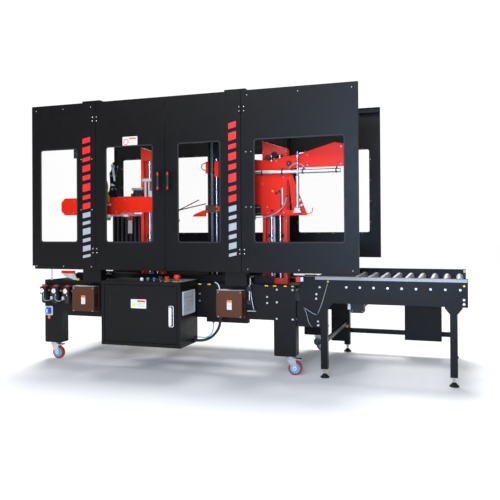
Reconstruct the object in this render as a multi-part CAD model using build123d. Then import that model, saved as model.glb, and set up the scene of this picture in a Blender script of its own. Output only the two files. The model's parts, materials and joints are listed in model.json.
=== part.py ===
from build123d import *
import math
import os

# Carton sealer with a flap folder, two head masts, a guard and an infeed roller conveyor.
# Machine coordinates, millimetres: X runs along the carton flow from the outfeed end, Y runs from
# the front guard face to the rear, Z is up from the floor. On export everything moves by one
# shift, so that the origin is at the bottom centre of the whole machine.

# ---- overall ----
GUARD_LENGTH = 2590.0
GUARD_BOTTOM = 738.0
GUARD_TOP = 2026.0
GUARD_WIDTH = 1273.0
REAR_RAISE = 55.0
CENTRE_Y = GUARD_WIDTH / 2
CONVEYOR_END = 3275.0
LATCH_FRONT = -200.0
BED_TOP = 640.0
CARTON_LEVEL = 668.0

ORIGIN_X = CONVEYOR_END / 2
ORIGIN_Y = (GUARD_WIDTH + LATCH_FRONT) / 2

# ---- guard ----
SHEET = 3.0
PANEL_DEPTH = 28.0
WINDOW_RADIUS = 18.0
PANE_THICK = 5.0
PANE_LAP = 15.0
PANEL_GAP = 2.0
LEFT_HINGE_X = 581.0
DOOR_SPLIT_X = 1168.0
RIGHT_HINGE_X = 1763.0
WINDOW_LOW = 952.0
WINDOW_HIGH = 1673.0
LEFT_WINDOW = (86.0, 416.0)
LEFT_DOOR_WINDOW = (676.0, 1066.0)
RIGHT_DOOR_WINDOW = (1278.0, 1603.0)
RIGHT_WINDOW = (1864.0, 2496.0)
NOTCH = 24.0
POST_LEFT = (445.0, 603.0)
POST_RIGHT = (1628.0, 1789.0)
POST_FRONT = 32.0
POST_DEPTH = 78.0
POST_RISE = 20.0
POST_REAR_DROP = 25.0
RAIL = 30.0

# ---- door hinges and handles ----
HINGE_HEIGHTS = (885.0, 1896.0)
HINGE_TALL = 54.0
HINGE_LEAF = 28.0
HINGE_PLATE = 3.0
HINGE_PIN_R = 2.5
HINGE_BARREL_R = 5.5
HINGE_AXIS_Y = -6.0
RUNNING = 0.05
HANDLE_OFFSET = 40.0
HANDLE_LOW = 1336.0
HANDLE_HIGH = 1466.0
HANDLE_REACH = 42.0

# ---- bed ----
BASE_FRONT = 130.0
BASE_REAR = GUARD_WIDTH - BASE_FRONT
LEG_WIDTH = 162.0
LEG_DEPTH = 85.0
LEG_BOTTOM = 135.0
LEG_CORNER = 12.0
LEG_LEFT_X = 20.0
LEG_RIGHT_X = 1961.0
LEG_TOP = BED_TOP
GIRDER_BOTTOM = 390.0
GIRDER_DEPTH = 60.0
TUBE_WALL = 4.0
DRIVE_TRAY_BOTTOM = 358.0
DRIVE_TRAYS = ((229.0, 560.0), (1440.0, 1762.0))

# ---- air inlet, a G1/4 thread in the filter's left side ----
INLET_R = 5.7
INLET_DEPTH = 14.0
INLET_Z = 561.0

# ---- masts and carriages ----
MAST_WIDTH = 187.0
MAST_DEPTH = 70.0
MAST_FRONT = 250.0
MAST_LEFT_X = 836.0
MAST_RIGHT_X = 1845.0
MAST_TOP_HIGH = 1694.0
MAST_TOP_LOW = 1632.0
MAST_WALL = 8.0
MAST_LIP = 24.0
MAST_BLOCK = 42.0
MAST_HEAD_BLOCK = 44.0
ROD_R = 11.0
ROD_SPREAD = 67.0
ROD_Y = MAST_FRONT + 32.0
BEARING_HALF = 52.0
BEARING_DEPTH = 20.0

COLUMN_X = (1402.0, 1495.0)
COLUMN_Y = (262.0, 320.0)
COLUMN_TOP = 1838.0
COLUMN_WEB = 14.0

# ---- taping head ----
BEAM_LEFT = 131.0
BEAM_LOW = 1164.0
BEAM_HIGH = 1302.0
BEAM_FRONT = 198.0
BEAM_DEPTH = 34.0
TAPE_UNIT_X = (270.0, 690.0)
TAPE_UNIT_HALF = 42.0
SKID_LEVEL = 1160.0
REEL_R = 120.0
REEL_CORE_R = 38.0
REEL_X = 170.0
REEL_Z = 1420.0

# ---- folding head ----
FOLD_PLATE = (1780.0, 2031.0)
FOLD_LOW = 1141.0
FOLD_HIGH = 1558.0
KICKER_X = 1957.0
KICKER_Z = 1508.0
KICKER_BEAM_X = (2046.0, 2086.0)

FOLD_FRONT = 205.0
FOLD_BACK = 235.0
HOLDER_OUTLINE = [(1944.0, 1474.0), (2172.0, 1484.0), (2506.0, 1483.0), (2506.0, 1637.0), (2449.0, 1642.0),
                  (2393.0, 1655.0), (2160.0, 1586.0), (2080.0, 1572.0), (1944.0, 1552.0)]
BRACKET_OUTER = [(2029.0, FOLD_LOW), (2194.0, FOLD_LOW), (2080.0, 1438.0), (2029.0, 1440.0)]
BRACKET_INNER = [(2041.0, 1180.0), (2082.0, 1180.0), (2060.0, 1400.0), (2041.0, 1400.0)]
BRACKET_HOLES = [(2126.0, 1292.0), (2138.0, 1252.0), (2150.0, 1214.0)]
BRACKET_HOLE_R = 9.0
BRACKET_THICK = 8.0
KICKER_EAR = 40.0
EAR_THICK = 12.0
PLOUGH_X = (1450.0, 2070.0)
PLOUGH_Z = 1160.0
PLOUGH_R = 9.0
PLOUGH_SPREAD = 60.0

# ---- side belts ----
BELT_X = (620.0, 1700.0)
BELT_LOW = 716.0
BELT_HIGH = 816.0
BELT_DEPTH = 55.0
BELT_REST_HALF = 175.0
BELT_ROD_X = (745.0, 1600.0)
BELT_ROD_Z = 606.0
BELT_ROD_R = 10.0

# ---- cabinet ----
CABINET_LEFT = 735.0
CABINET_RIGHT = 1368.0
CABINET_LOW = 209.0
CABINET_HIGH = 672.0
CABINET_FRONT = -172.0
CABINET_BORDER = 24.0
CABINET_GAP = 4.0
CABINET_DOOR_THICK = 20.0
CABINET_PIN_INSET = 8.0
CABINET_PIN_R = 3.0
LATCH_X = 1300.0
LATCH_PIVOT_Z = 486.0
LATCH_LENGTH = 124.0
BUTTON_Y = -110.0
BUTTON_FIRST_X = 1034.0
BUTTON_PITCH = 50.5
STOP_X = 1315.0
STEM_R = 8.0
STEM_GAP = 0.1
STEM_LENGTH = 26.0

VENT_Y = (-136.0, 60.0)
VENT_Z = (442.0, 600.0)
VENT_DEPTH = 8.0
VENT_RIM = 9.0
VENT_BARS = 11

# ---- isolator, drive covers and air unit ----
ISOLATOR_X = 62.0
ISOLATOR_Z = 391.0
ISOLATOR_HALF = 17.0
COVER_X = (333.0, 1551.0)
COVER_WIDTH = 196.0
COVER_FRONT = 50.0
COVER_LOW = 410.0
COVER_HIGH = 602.0
GAUGE_X = (48.0, 159.0, 266.0)
AIR_BAR = (30.0, 320.0)
AIR_INSET = 40.0
BOWL_LOW = 462.0
BOWL_R = 22.0

# ---- castors ----
WHEEL_R = 50.0
WHEEL_WIDTH = 32.0
CASTOR_TRAIL = 34.0
CASTOR_LEFT_X = 88.0
CASTOR_RIGHT_X = 2074.0
CASTOR_INSET_Y = 42.0
CASTOR_TOP = LEG_BOTTOM
AXLE_R = 6.0

# ---- conveyor ----
RAIL_START = 2150.0
RAIL_FRONT = 138.0
RAIL_REAR = GUARD_WIDTH - RAIL_FRONT
RAIL_LOW = 524.0
RAIL_HIGH = 709.0
RAIL_FLANGE = 34.0
ROLLER_COUNT = 9
ROLLER_PITCH = 93.2
ROLLER_LAST_X = 3227.0
ROLLER_Z = 652.0
RAIL_BOLT_Z = 638.0
ROLLER_R = 26.0
ROLLER_WALL = 3.0
ROLLER_AXLE_R = 6.0
SUPPORT_WIDTH = 48.0
SUPPORT_X = (2323.0, 3185.0)
FOOT_TOP = 62.0
GUSSET_HALF = 56.0
GUSSET_THICK = 4.0
SPLICE_X = 3250.0
SPLICE_HEIGHTS = (545.0, 573.0)
SPLICE_R = 4.5
DOCK_START = 2128.0
DOCK_LOW = 352.0
SIDE_COVERS = ((2197.0, 2352.0, 97.0), (2800.0, 3088.0, 132.0))
GEARBOX_X = (2440.0, 2540.0)
GEARBOX_Y = (560.0, 650.0)
GEARBOX_LOW = 404.0
MOTOR_END_Y = 840.0
MOTOR_Z = 466.0
MOTOR_R = 44.0

# ---- fasteners ----
BOLT_HEAD = 4.0
BOLT_R = 7.0
ROLLER_BOLT_R = 8.0
LEG_BOLTS = [(24.0, 610.0), (24.0, 520.0), (22.0, 402.0), (140.0, 610.0), (140.0, 402.0),
             (-48.0, 556.0), (-48.0, 512.0)]

# ---- cords ----
CONDUIT_R = 10.0
HOSE_R = 4.0
CONDUIT_ROUTE = [(1378.0, 64.0, 228.0), (1426.0, 64.0, 228.0), (1476.0, 68.0, 241.0), (1518.0, 74.0, 268.0),
                 (1550.0, 80.0, 308.0), (1568.0, 84.0, 356.0), (1568.0, 84.0, 398.0)]
HOSE_ROUTE = [(1376.0, 104.0, 246.0), (1406.0, 104.0, 246.0), (1438.0, 112.0, 242.0), (1466.0, 126.0, 254.0),
              (1484.0, 140.0, 280.0), (1490.0, 146.0, 314.0), (1490.0, 146.0, 350.0)]


def block(x0, x1, y0, y1, z0, z1):
    """Box between two corners."""
    centre = Pos((x0 + x1) / 2, (y0 + y1) / 2, (z0 + z1) / 2)
    return centre * Box(abs(x1 - x0), abs(y1 - y0), abs(z1 - z0))


def soft_block(x0, x1, y0, y1, z0, z1, radius, axis):
    """Box between two corners, with the edges along one axis rounded."""
    body = block(x0, x1, y0, y1, z0, z1)
    return fillet(body.edges().filter_by(axis), radius)


def tube_block(x0, x1, y0, y1, z0, z1, wall, axis):
    """Rectangular tube, open along the named axis."""
    grow = {"X": (1, 0, 0), "Y": (0, 1, 0), "Z": (0, 0, 1)}[axis]
    inset = [wall * (1 - g) - g for g in grow]
    inner = block(x0 + inset[0], x1 - inset[0], y0 + inset[1], y1 - inset[1], z0 + inset[2], z1 - inset[2])
    return block(x0, x1, y0, y1, z0, z1) - inner


def rod(axis, start, end, a, b, radius):
    """Round bar along an axis from start to end; a and b are the other two coordinates in order."""
    length = end - start
    middle = (start + end) / 2
    if axis == "X":
        return Pos(middle, a, b) * Rot(0, 90, 0) * Cylinder(radius, length)
    if axis == "Y":
        return Pos(a, middle, b) * Rot(90, 0, 0) * Cylinder(radius, length)
    return Pos(a, b, middle) * Cylinder(radius, length)


def slab_xz(points, y0, y1):
    """Flat plate with an outline in X and Z, between two Y values."""
    outline = Polyline(*[(x, y0, z) for x, z in points], close=True)
    return extrude(make_face(outline), y1 - y0, dir=(0, 1, 0))


# ------------------------------------------------------------------ guard

def window_cut(span, low, high, y0, y1):
    return soft_block(span[0], span[1], y0, y1, low, high, WINDOW_RADIUS, Axis.Y)


def guard_panel(x0, x1, low, high, face_y, inward, window, window_low, window_high):
    """Folded sheet tray with a rounded window; inward is +1 for the front, -1 for the rear."""
    back_y = face_y + inward * PANEL_DEPTH
    inner_y = face_y + inward * SHEET
    beyond_y = back_y + inward
    panel = block(x0, x1, face_y, back_y, low, high)
    panel -= block(x0 + SHEET, x1 - SHEET, inner_y, beyond_y, low + SHEET, high - SHEET)
    panel -= window_cut(window, window_low, window_high, face_y - inward, beyond_y)
    return panel


def guard_pane(window, window_low, window_high, face_y, inward):
    inner_y = face_y + inward * SHEET
    back_y = inner_y + inward * PANE_THICK
    return block(window[0] - PANE_LAP, window[1] + PANE_LAP, inner_y, back_y,
                 window_low - PANE_LAP, window_high + PANE_LAP)


def hinge_leaf(hinge_x, side, height, moving):
    """Half of a hinge. side is the leaf's direction; the moving half has the middle knuckle."""
    third = HINGE_TALL / 3
    low = height - HINGE_TALL / 2
    plate_near = hinge_x + side * (HINGE_BARREL_R + 1.0)
    plate_far = hinge_x + side * HINGE_LEAF
    leaf = block(plate_near, plate_far, -HINGE_PLATE, 0, low, low + HINGE_TALL)
    spans = [(third + 0.5, 2 * third - 0.5)] if moving else [(0, third), (2 * third, HINGE_TALL)]
    for start, end in spans:
        knuckle = rod("Z", low + start, low + end, hinge_x, HINGE_AXIS_Y, HINGE_BARREL_R)
        bridge = block(hinge_x, plate_near + side, HINGE_AXIS_Y + HINGE_PIN_R + 0.5, -0.6,
                       low + start, low + end)
        leaf += knuckle + bridge
    if moving:
        leaf -= rod("Z", low, low + HINGE_TALL, hinge_x, HINGE_AXIS_Y, HINGE_PIN_R + RUNNING)
    else:
        leaf += rod("Z", low, low + HINGE_TALL, hinge_x, HINGE_AXIS_Y, HINGE_PIN_R)
    return leaf


def front_door(hinge_x, x0, x1, window):
    door = guard_panel(x0, x1, GUARD_BOTTOM, GUARD_TOP, 0, 1, window, WINDOW_LOW, WINDOW_HIGH)
    side = 1 if hinge_x < x0 else -1
    for height in HINGE_HEIGHTS:
        door += hinge_leaf(hinge_x, side, height, True)
    return door


def bridge_handle(x):
    """Upright bridge handle: a rounded grip on two feet."""
    foot = 12.0
    grip_back = -HANDLE_REACH + 14.0
    handle = soft_block(x - 9, x + 9, -HANDLE_REACH, grip_back, HANDLE_LOW, HANDLE_HIGH, 5.0, Axis.Z)
    for centre in (HANDLE_LOW + foot, HANDLE_HIGH - foot):
        handle += rod("Y", grip_back - 4, 0, x, centre, foot - 2.0)
    return handle


def fixed_hinge_leaves():
    leaves = []
    for hinge_x, side in ((LEFT_HINGE_X, -1), (RIGHT_HINGE_X, 1)):
        for height in HINGE_HEIGHTS:
            leaves.append(hinge_leaf(hinge_x, side, height, False))
    return leaves


def front_fixed_panels():
    left = guard_panel(0, LEFT_HINGE_X - PANEL_GAP, GUARD_BOTTOM, GUARD_TOP, 0, 1,
                       LEFT_WINDOW, WINDOW_LOW, WINDOW_HIGH)
    left -= block(-1, NOTCH, -1, PANEL_DEPTH + 1, GUARD_BOTTOM - 1, GUARD_BOTTOM + NOTCH)
    right = guard_panel(RIGHT_HINGE_X + PANEL_GAP, GUARD_LENGTH, GUARD_BOTTOM, GUARD_TOP, 0, 1,
                        RIGHT_WINDOW, WINDOW_LOW, WINDOW_HIGH)
    return [left, right]


def rear_panel_table():
    """Start, end and window of each rear panel."""
    return [(0, LEFT_HINGE_X - PANEL_GAP, LEFT_WINDOW),
            (LEFT_HINGE_X + PANEL_GAP, DOOR_SPLIT_X - PANEL_GAP, LEFT_DOOR_WINDOW),
            (DOOR_SPLIT_X + PANEL_GAP, RIGHT_HINGE_X - PANEL_GAP, RIGHT_DOOR_WINDOW),
            (RIGHT_HINGE_X + PANEL_GAP, GUARD_LENGTH, RIGHT_WINDOW)]


def rear_panels():
    return [guard_panel(x0, x1, GUARD_BOTTOM + REAR_RAISE, GUARD_TOP + REAR_RAISE, GUARD_WIDTH, -1,
                        window, WINDOW_LOW + REAR_RAISE, WINDOW_HIGH + REAR_RAISE)
            for x0, x1, window in rear_panel_table()]


def fixed_panes():
    panes = [guard_pane(window, WINDOW_LOW, WINDOW_HIGH, 0, 1) for window in (LEFT_WINDOW, RIGHT_WINDOW)]
    for _, _, window in rear_panel_table():
        panes.append(guard_pane(window, WINDOW_LOW + REAR_RAISE, WINDOW_HIGH + REAR_RAISE, GUARD_WIDTH, -1))
    return panes


def guard_frame():
    """Four posts on foot plates, rails along the panels and two cross beams overhead."""
    front_y = (POST_FRONT, POST_FRONT + POST_DEPTH)
    rear_y = (GUARD_WIDTH - POST_FRONT - POST_DEPTH, GUARD_WIDTH - POST_FRONT)
    frame = None
    front_foot = (front_y[0], BASE_FRONT + GIRDER_DEPTH - 4)
    rear_foot = (BASE_REAR - GIRDER_DEPTH + 4, rear_y[1])
    front_top = GUARD_TOP + POST_RISE
    rear_top = GUARD_TOP + POST_RISE + REAR_RAISE - POST_REAR_DROP
    for x0, x1 in (POST_LEFT, POST_RIGHT):
        for post_y, foot_y, top in ((front_y, front_foot, front_top), (rear_y, rear_foot, rear_top)):
            post = tube_block(x0, x1, *post_y, BED_TOP + 8, top, SHEET, "Z")
            post += block(x0, x1, *foot_y, BED_TOP, BED_TOP + 8)
            frame = post if frame is None else frame + post
        beam_x = (x0 + x1) / 2
        frame += tube_block(beam_x - 30, beam_x + 30, front_y[1], rear_y[0], 1955, 2015, SHEET, "Y")
    for low, high, raised, y0, y1 in ((GUARD_BOTTOM, GUARD_TOP, 0, POST_FRONT, POST_FRONT + RAIL),
                                      (GUARD_BOTTOM, GUARD_TOP, REAR_RAISE, rear_y[1] - RAIL, rear_y[1])):
        top_rail = (high + raised - 50, high + raised - 20)
        low_rail = (low + raised + 8, low + raised + 38)
        spans = ((8, POST_LEFT[0]), (POST_RIGHT[1], GUARD_LENGTH - 8))
        for x0, x1 in spans:
            frame += tube_block(x0 - 1, x1 + 1, y0, y1, *top_rail, SHEET, "X")
            frame += tube_block(x0 - 1, x1 + 1, y0, y1, *low_rail, SHEET, "X")
        frame += tube_block(POST_LEFT[1] - 1, POST_RIGHT[0] + 1, y0, y1, *top_rail, SHEET, "X")
    return frame


# ------------------------------------------------------------------ bed

def bed_legs():
    legs = []
    for x0 in (LEG_LEFT_X, LEG_RIGHT_X):
        for y0 in (BASE_FRONT, BASE_REAR - LEG_DEPTH):
            x1 = x0 + LEG_WIDTH
            y1 = y0 + LEG_DEPTH
            leg = tube_block(x0, x1, y0, y1, LEG_BOTTOM, LEG_TOP, TUBE_WALL, "Z")
            leg += block(x0 + 1, x1 - 1, y0 + 1, y1 - 1, LEG_BOTTOM, LEG_BOTTOM + 6)
            rounding = soft_block(x0, x1, y0 - 1, y1 + 1, LEG_BOTTOM, LEG_TOP + 40, LEG_CORNER, Axis.Y)
            legs.append(leg & rounding)
    return legs


def bed_frame():
    """Welded bed: girders, cross tubes, mast shelves, chain column, belt guide rods, skirts and trays."""
    x0 = LEG_LEFT_X + LEG_WIDTH
    x1 = LEG_RIGHT_X
    inner_front = BASE_FRONT + GIRDER_DEPTH
    inner_rear = BASE_REAR - GIRDER_DEPTH
    lap = TUBE_WALL
    frame = tube_block(x0, x1, BASE_FRONT, inner_front, GIRDER_BOTTOM, BED_TOP, TUBE_WALL, "X")
    frame += tube_block(x0, x1, inner_rear, BASE_REAR, GIRDER_BOTTOM, BED_TOP, TUBE_WALL, "X")
    leg_inner = BASE_FRONT + LEG_DEPTH
    for low_x, high_x, plate_x in ((60.0, x0 + 56, 54.0), (x1 - 56, 2117.0, 2117.0)):
        frame += tube_block(low_x, high_x, leg_inner, GUARD_WIDTH - leg_inner, BED_TOP - 60, BED_TOP,
                            TUBE_WALL, "Y")
        frame += block(plate_x, plate_x + 6, leg_inner, GUARD_WIDTH - leg_inner, GIRDER_BOTTOM + 20, BED_TOP)
        link_x = x0 + 8 if low_x < x0 else x1 - 48
        for y0, y1 in ((inner_front - lap, leg_inner + lap),
                       (GUARD_WIDTH - leg_inner - lap, inner_rear + lap)):
            frame += block(link_x, link_x + 40, y0, y1, BED_TOP - 56, BED_TOP - 4)
    for centre in (440.0, MAST_LEFT_X + MAST_WIDTH / 2, 1300.0, 1860.0):
        frame += tube_block(centre - 50, centre + 50, inner_front - lap, inner_rear + lap,
                            BED_TOP - 190, BED_TOP - 150, TUBE_WALL, "Y")
    for start in (MAST_LEFT_X, MAST_RIGHT_X):
        frame += block(start, start + MAST_WIDTH, leg_inner, MAST_FRONT + MAST_DEPTH + 8,
                       BED_TOP - 12, BED_TOP)
        frame += block(start, min(start + MAST_WIDTH, x1 - 4), inner_front - lap, leg_inner + lap,
                       BED_TOP - 12, BED_TOP)
    frame += block(COLUMN_X[0] - 20, COLUMN_X[1] + 20, inner_front - lap, COLUMN_Y[1] + 12,
                   BED_TOP - 12, BED_TOP)
    frame += block(*COLUMN_X, *COLUMN_Y, BED_TOP - 1, COLUMN_TOP)
    frame -= block(COLUMN_X[0] + COLUMN_WEB, COLUMN_X[1] - COLUMN_WEB, COLUMN_Y[0] - 1, COLUMN_Y[0] + 22,
                   BED_TOP + 20, COLUMN_TOP + 1)
    for centre in BELT_ROD_X:
        frame += rod("Y", inner_front - lap, inner_rear + lap, centre, BELT_ROD_Z, BELT_ROD_R)
    for y0, y1 in ((inner_front - lap, inner_front + 2), (inner_rear - 2, inner_rear + lap)):
        for low_x, high_x in ((290.0, POST_LEFT[0] - 4), (POST_LEFT[1] + 4, POST_RIGHT[0] - 4),
                              (POST_RIGHT[1] + 4, 1940.0)):
            frame += block(low_x, high_x, y0, y1, BED_TOP - 1, BED_TOP + 62)
    frame += glands()[2]
    for low_x, high_x in DRIVE_TRAYS:
        frame += block(low_x, high_x, BASE_FRONT + 4, inner_front - 4, DRIVE_TRAY_BOTTOM, GIRDER_BOTTOM + 1)
    return frame


def slide_decks():
    """Carton slide strips beside the lower tape unit, in three lengths."""
    gap = 45.0
    spans = ((LEG_LEFT_X + 40, BELT_ROD_X[0] - gap), (BELT_ROD_X[0] + gap, BELT_ROD_X[1] - gap),
             (BELT_ROD_X[1] + gap, LEG_RIGHT_X + LEG_WIDTH))
    strips = []
    for x0, x1 in spans:
        for centre in (CENTRE_Y - 130, CENTRE_Y + 130):
            deck = block(x0, x1, centre - 70, centre + 70, CARTON_LEVEL - 5, CARTON_LEVEL)
            for edge in (centre - 70, centre + 66):
                deck += block(x0, x1, edge, edge + 4, BED_TOP, CARTON_LEVEL - 5)
            strips.append(deck)
    return strips


# ------------------------------------------------------------------ masts and heads

def mast(x0):
    """Upright channel, open to the front, with two guide rods held by a bottom block and a head block."""
    x1 = x0 + MAST_WIDTH
    y1 = MAST_FRONT + MAST_DEPTH
    outline = [(x0, BED_TOP), (x1, BED_TOP), (x1, MAST_TOP_LOW), (x0, MAST_TOP_HIGH)]
    column = slab_xz(outline, MAST_FRONT, y1)
    low = BED_TOP + MAST_BLOCK
    high = MAST_TOP_LOW - MAST_HEAD_BLOCK
    column -= block(x0 + MAST_WALL, x1 - MAST_WALL, MAST_FRONT + 6, y1 - MAST_WALL, low, high)
    column -= block(x0 + MAST_LIP, x1 - MAST_LIP, MAST_FRONT - 1, MAST_FRONT + 7, low, high)
    centre = (x0 + x1) / 2
    for offset in (-ROD_SPREAD / 2, ROD_SPREAD / 2):
        column += rod("Z", low - 5, high + 5, centre + offset, ROD_Y, ROD_R)
    return column


def mast_bearing(x0, low, high, front):
    """Bearing block on both guide rods, with a neck out to a plate whose back is at front."""
    centre = x0 + MAST_WIDTH / 2
    left, right = centre - BEARING_HALF, centre + BEARING_HALF
    bearing = block(left, right, ROD_Y - BEARING_DEPTH, ROD_Y + BEARING_DEPTH, low, high)
    bearing += block(left, right, front, ROD_Y - BEARING_DEPTH + 1, low, high)
    for offset in (-ROD_SPREAD / 2, ROD_SPREAD / 2):
        bearing -= rod("Z", low - 1, high + 1, centre + offset, ROD_Y, ROD_R + RUNNING)
    return bearing


def taping_carriage():
    """Long red beam in front of the outfeed mast, with two arms to the tape unit."""
    chamfer = 34.0
    right = MAST_LEFT_X + MAST_WIDTH
    step = 664.0
    outline = [(BEAM_LEFT + chamfer, BEAM_LOW), (step, BEAM_LOW), (step, BEAM_LOW + 14),
               (right, BEAM_LOW + 14), (right, BEAM_HIGH),
               (BEAM_LEFT + chamfer, BEAM_HIGH), (BEAM_LEFT, BEAM_HIGH - chamfer),
               (BEAM_LEFT, BEAM_LOW + chamfer)]
    beam = slab_xz(outline, BEAM_FRONT, BEAM_FRONT + BEAM_DEPTH)
    beam += mast_bearing(MAST_LEFT_X, BEAM_LOW + 14, BEAM_HIGH, BEAM_FRONT + BEAM_DEPTH - 1)
    for centre in (360.0, 640.0):
        beam += block(centre - 20, centre + 20, BEAM_FRONT + BEAM_DEPTH - 1, CENTRE_Y - TAPE_UNIT_HALF,
                      BEAM_LOW + 70, BEAM_LOW + 110)
    return beam


def tape_unit(skid, direction):
    """Tape unit: two side plates with skids, spacers and a reel post. direction is +1 for the upper unit."""
    x0, x1 = TAPE_UNIT_X
    tall = 170.0
    low, high = sorted((skid, skid + direction * tall))
    unit = None
    for y0 in (CENTRE_Y - TAPE_UNIT_HALF, CENTRE_Y + TAPE_UNIT_HALF - 5):
        plate = slab_xz([(x0, low), (x1, low), (x1, high), (x0, high)], y0, y0 + 5)
        for cut_x in (x0 + 45, x1 - 45):
            reach = 62.0
            plate -= block(cut_x - 32, cut_x + 32, y0 - 1, y0 + 6, skid - direction, skid + direction * reach)
        unit = plate if unit is None else unit + plate
    for spacer_x, spacer_h in ((x0 + 120, 60.0), (x1 - 120, 60.0), ((x0 + x1) / 2, 120.0), (x0 + 40, 140.0),
                               (x1 - 40, 140.0)):
        unit += rod("Y", CENTRE_Y - TAPE_UNIT_HALF, CENTRE_Y + TAPE_UNIT_HALF, spacer_x,
                    skid + direction * spacer_h, 9.0)
    for pivot_x in (x0 + 95, x1 - 95):
        unit += rod("Y", CENTRE_Y - TAPE_UNIT_HALF, CENTRE_Y + TAPE_UNIT_HALF, pivot_x,
                    skid + direction * 100.0, 7.0)
    return unit


def upper_tape_unit():
    """Upper tape unit with the bracket and spindle that carry the tape reel."""
    unit = tape_unit(SKID_LEVEL, 1)
    y0 = CENTRE_Y + TAPE_UNIT_HALF - 5
    x0 = TAPE_UNIT_X[0]
    bracket = slab_xz([(x0 + 10, SKID_LEVEL + 120), (x0 + 90, SKID_LEVEL + 165), (REEL_X + 30, REEL_Z + 22),
                       (REEL_X - 22, REEL_Z + 22), (REEL_X - 22, REEL_Z - 22)], y0, y0 + 5)
    unit += bracket
    unit += rod("Y", CENTRE_Y - 34, y0 + 1, REEL_X, REEL_Z, 9.0)
    return unit


def lower_tape_unit():
    """Lower tape unit, the mirror of the upper one, with its reel in place below."""
    unit = tape_unit(CARTON_LEVEL - 2, -1)
    x_mid = sum(TAPE_UNIT_X) / 2
    low = CARTON_LEVEL - 2 - 170
    unit += block(x_mid - 60, x_mid + 60, CENTRE_Y - TAPE_UNIT_HALF, CENTRE_Y + TAPE_UNIT_HALF,
                  low - 4, low + 4)
    return unit


def tape_reel():
    """Roll of tape on its core; the hub turns on the unit's spindle."""
    reel = rod("Y", CENTRE_Y - 25, CENTRE_Y + 25, REEL_X, REEL_Z, REEL_R)
    reel += rod("Y", CENTRE_Y - 28, CENTRE_Y + 28, REEL_X, REEL_Z, REEL_CORE_R)
    reel -= rod("Y", CENTRE_Y - 40, CENTRE_Y + 40, REEL_X, REEL_Z, 9.0 + RUNNING)
    return reel


def roller_arm(pivot_x, direction):
    """Sprung arm with a tape roller; direction is +1 where the roller is on the +X side of the pivot."""
    pivot_z = SKID_LEVEL + 100.0
    roller_x = pivot_x + direction * 70.0
    roller_z = SKID_LEVEL - 18.0
    outline = [(pivot_x - direction * 14, pivot_z - 6), (pivot_x - direction * 6, pivot_z + 14),
               (pivot_x + direction * 6, pivot_z + 14), (pivot_x + direction * 14, pivot_z - 6),
               (roller_x + direction * 12, roller_z), (roller_x - direction * 12, roller_z)]
    arm = None
    for y0 in (CENTRE_Y - 33, CENTRE_Y + 28):
        cheek = slab_xz(outline, y0, y0 + 5)
        arm = cheek if arm is None else arm + cheek
    arm += rod("Y", CENTRE_Y - 28, CENTRE_Y + 28, roller_x, roller_z, 17.0)
    arm += rod("Y", CENTRE_Y - 33, CENTRE_Y + 33, pivot_x, pivot_z, 13.0)
    arm -= rod("Y", CENTRE_Y - 60, CENTRE_Y + 60, pivot_x, pivot_z, 7.0 + RUNNING)
    return arm


def folder_carriage():
    """Red folding head: mast plate, long tapered holder arm, kicker bracket and cross beams."""
    x0, x1 = FOLD_PLATE
    y0, y1 = FOLD_FRONT, FOLD_BACK
    plate = slab_xz([(x0, FOLD_LOW), (x1, FOLD_LOW), (x1, FOLD_HIGH - 30), (x0, FOLD_HIGH)], y0, y1)
    for low, high in ((FOLD_LOW + 10, FOLD_LOW + 90), (FOLD_HIGH - 110, FOLD_HIGH - 38)):
        plate += mast_bearing(MAST_RIGHT_X, low, high, y1 - 1)
    arm = slab_xz(HOLDER_OUTLINE, y0 - 8, y0 + 1)
    bracket = slab_xz(BRACKET_OUTER, y0, y0 + BRACKET_THICK)
    bracket -= slab_xz(BRACKET_INNER, y0 - 1, y0 + BRACKET_THICK + 1)
    for hole_x, hole_z in BRACKET_HOLES:
        bracket -= rod("Y", y0 - 1, y0 + BRACKET_THICK + 1, hole_x, hole_z, BRACKET_HOLE_R)
    beam_low, beam_high = KICKER_Z + 22, KICKER_Z + 62
    beam = block(*KICKER_BEAM_X, y0, CENTRE_Y + KICKER_EAR, beam_low, beam_high)
    web = block(*KICKER_BEAM_X, y0 - 7, y0 + 1, 1480.0, beam_high)
    ear_x = (KICKER_X - 16, KICKER_X + 16)
    drop = block(ear_x[0], KICKER_BEAM_X[0] + 1, CENTRE_Y - KICKER_EAR, CENTRE_Y + KICKER_EAR,
                 beam_low + 15, beam_high)
    for ear_y in (CENTRE_Y - KICKER_EAR, CENTRE_Y + KICKER_EAR - EAR_THICK):
        drop += block(*ear_x, ear_y, ear_y + EAR_THICK, KICKER_Z - 24, beam_high)
    shaft = rod("Y", CENTRE_Y - KICKER_EAR, CENTRE_Y + KICKER_EAR, KICKER_X, KICKER_Z, 8.0)
    folder = plate + arm + bracket + web + beam + drop + shaft
    folder += block(1792.0, 1822.0, y1 - 1, CENTRE_Y + PLOUGH_SPREAD + 15, 1380.0, 1420.0)
    for y in (CENTRE_Y - PLOUGH_SPREAD, CENTRE_Y + PLOUGH_SPREAD):
        folder += rod("X", *PLOUGH_X, y, PLOUGH_Z, PLOUGH_R)
        folder += block(1798.0, 1816.0, y - 9, y + 9, PLOUGH_Z - 5, 1382.0)
    return folder


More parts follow.
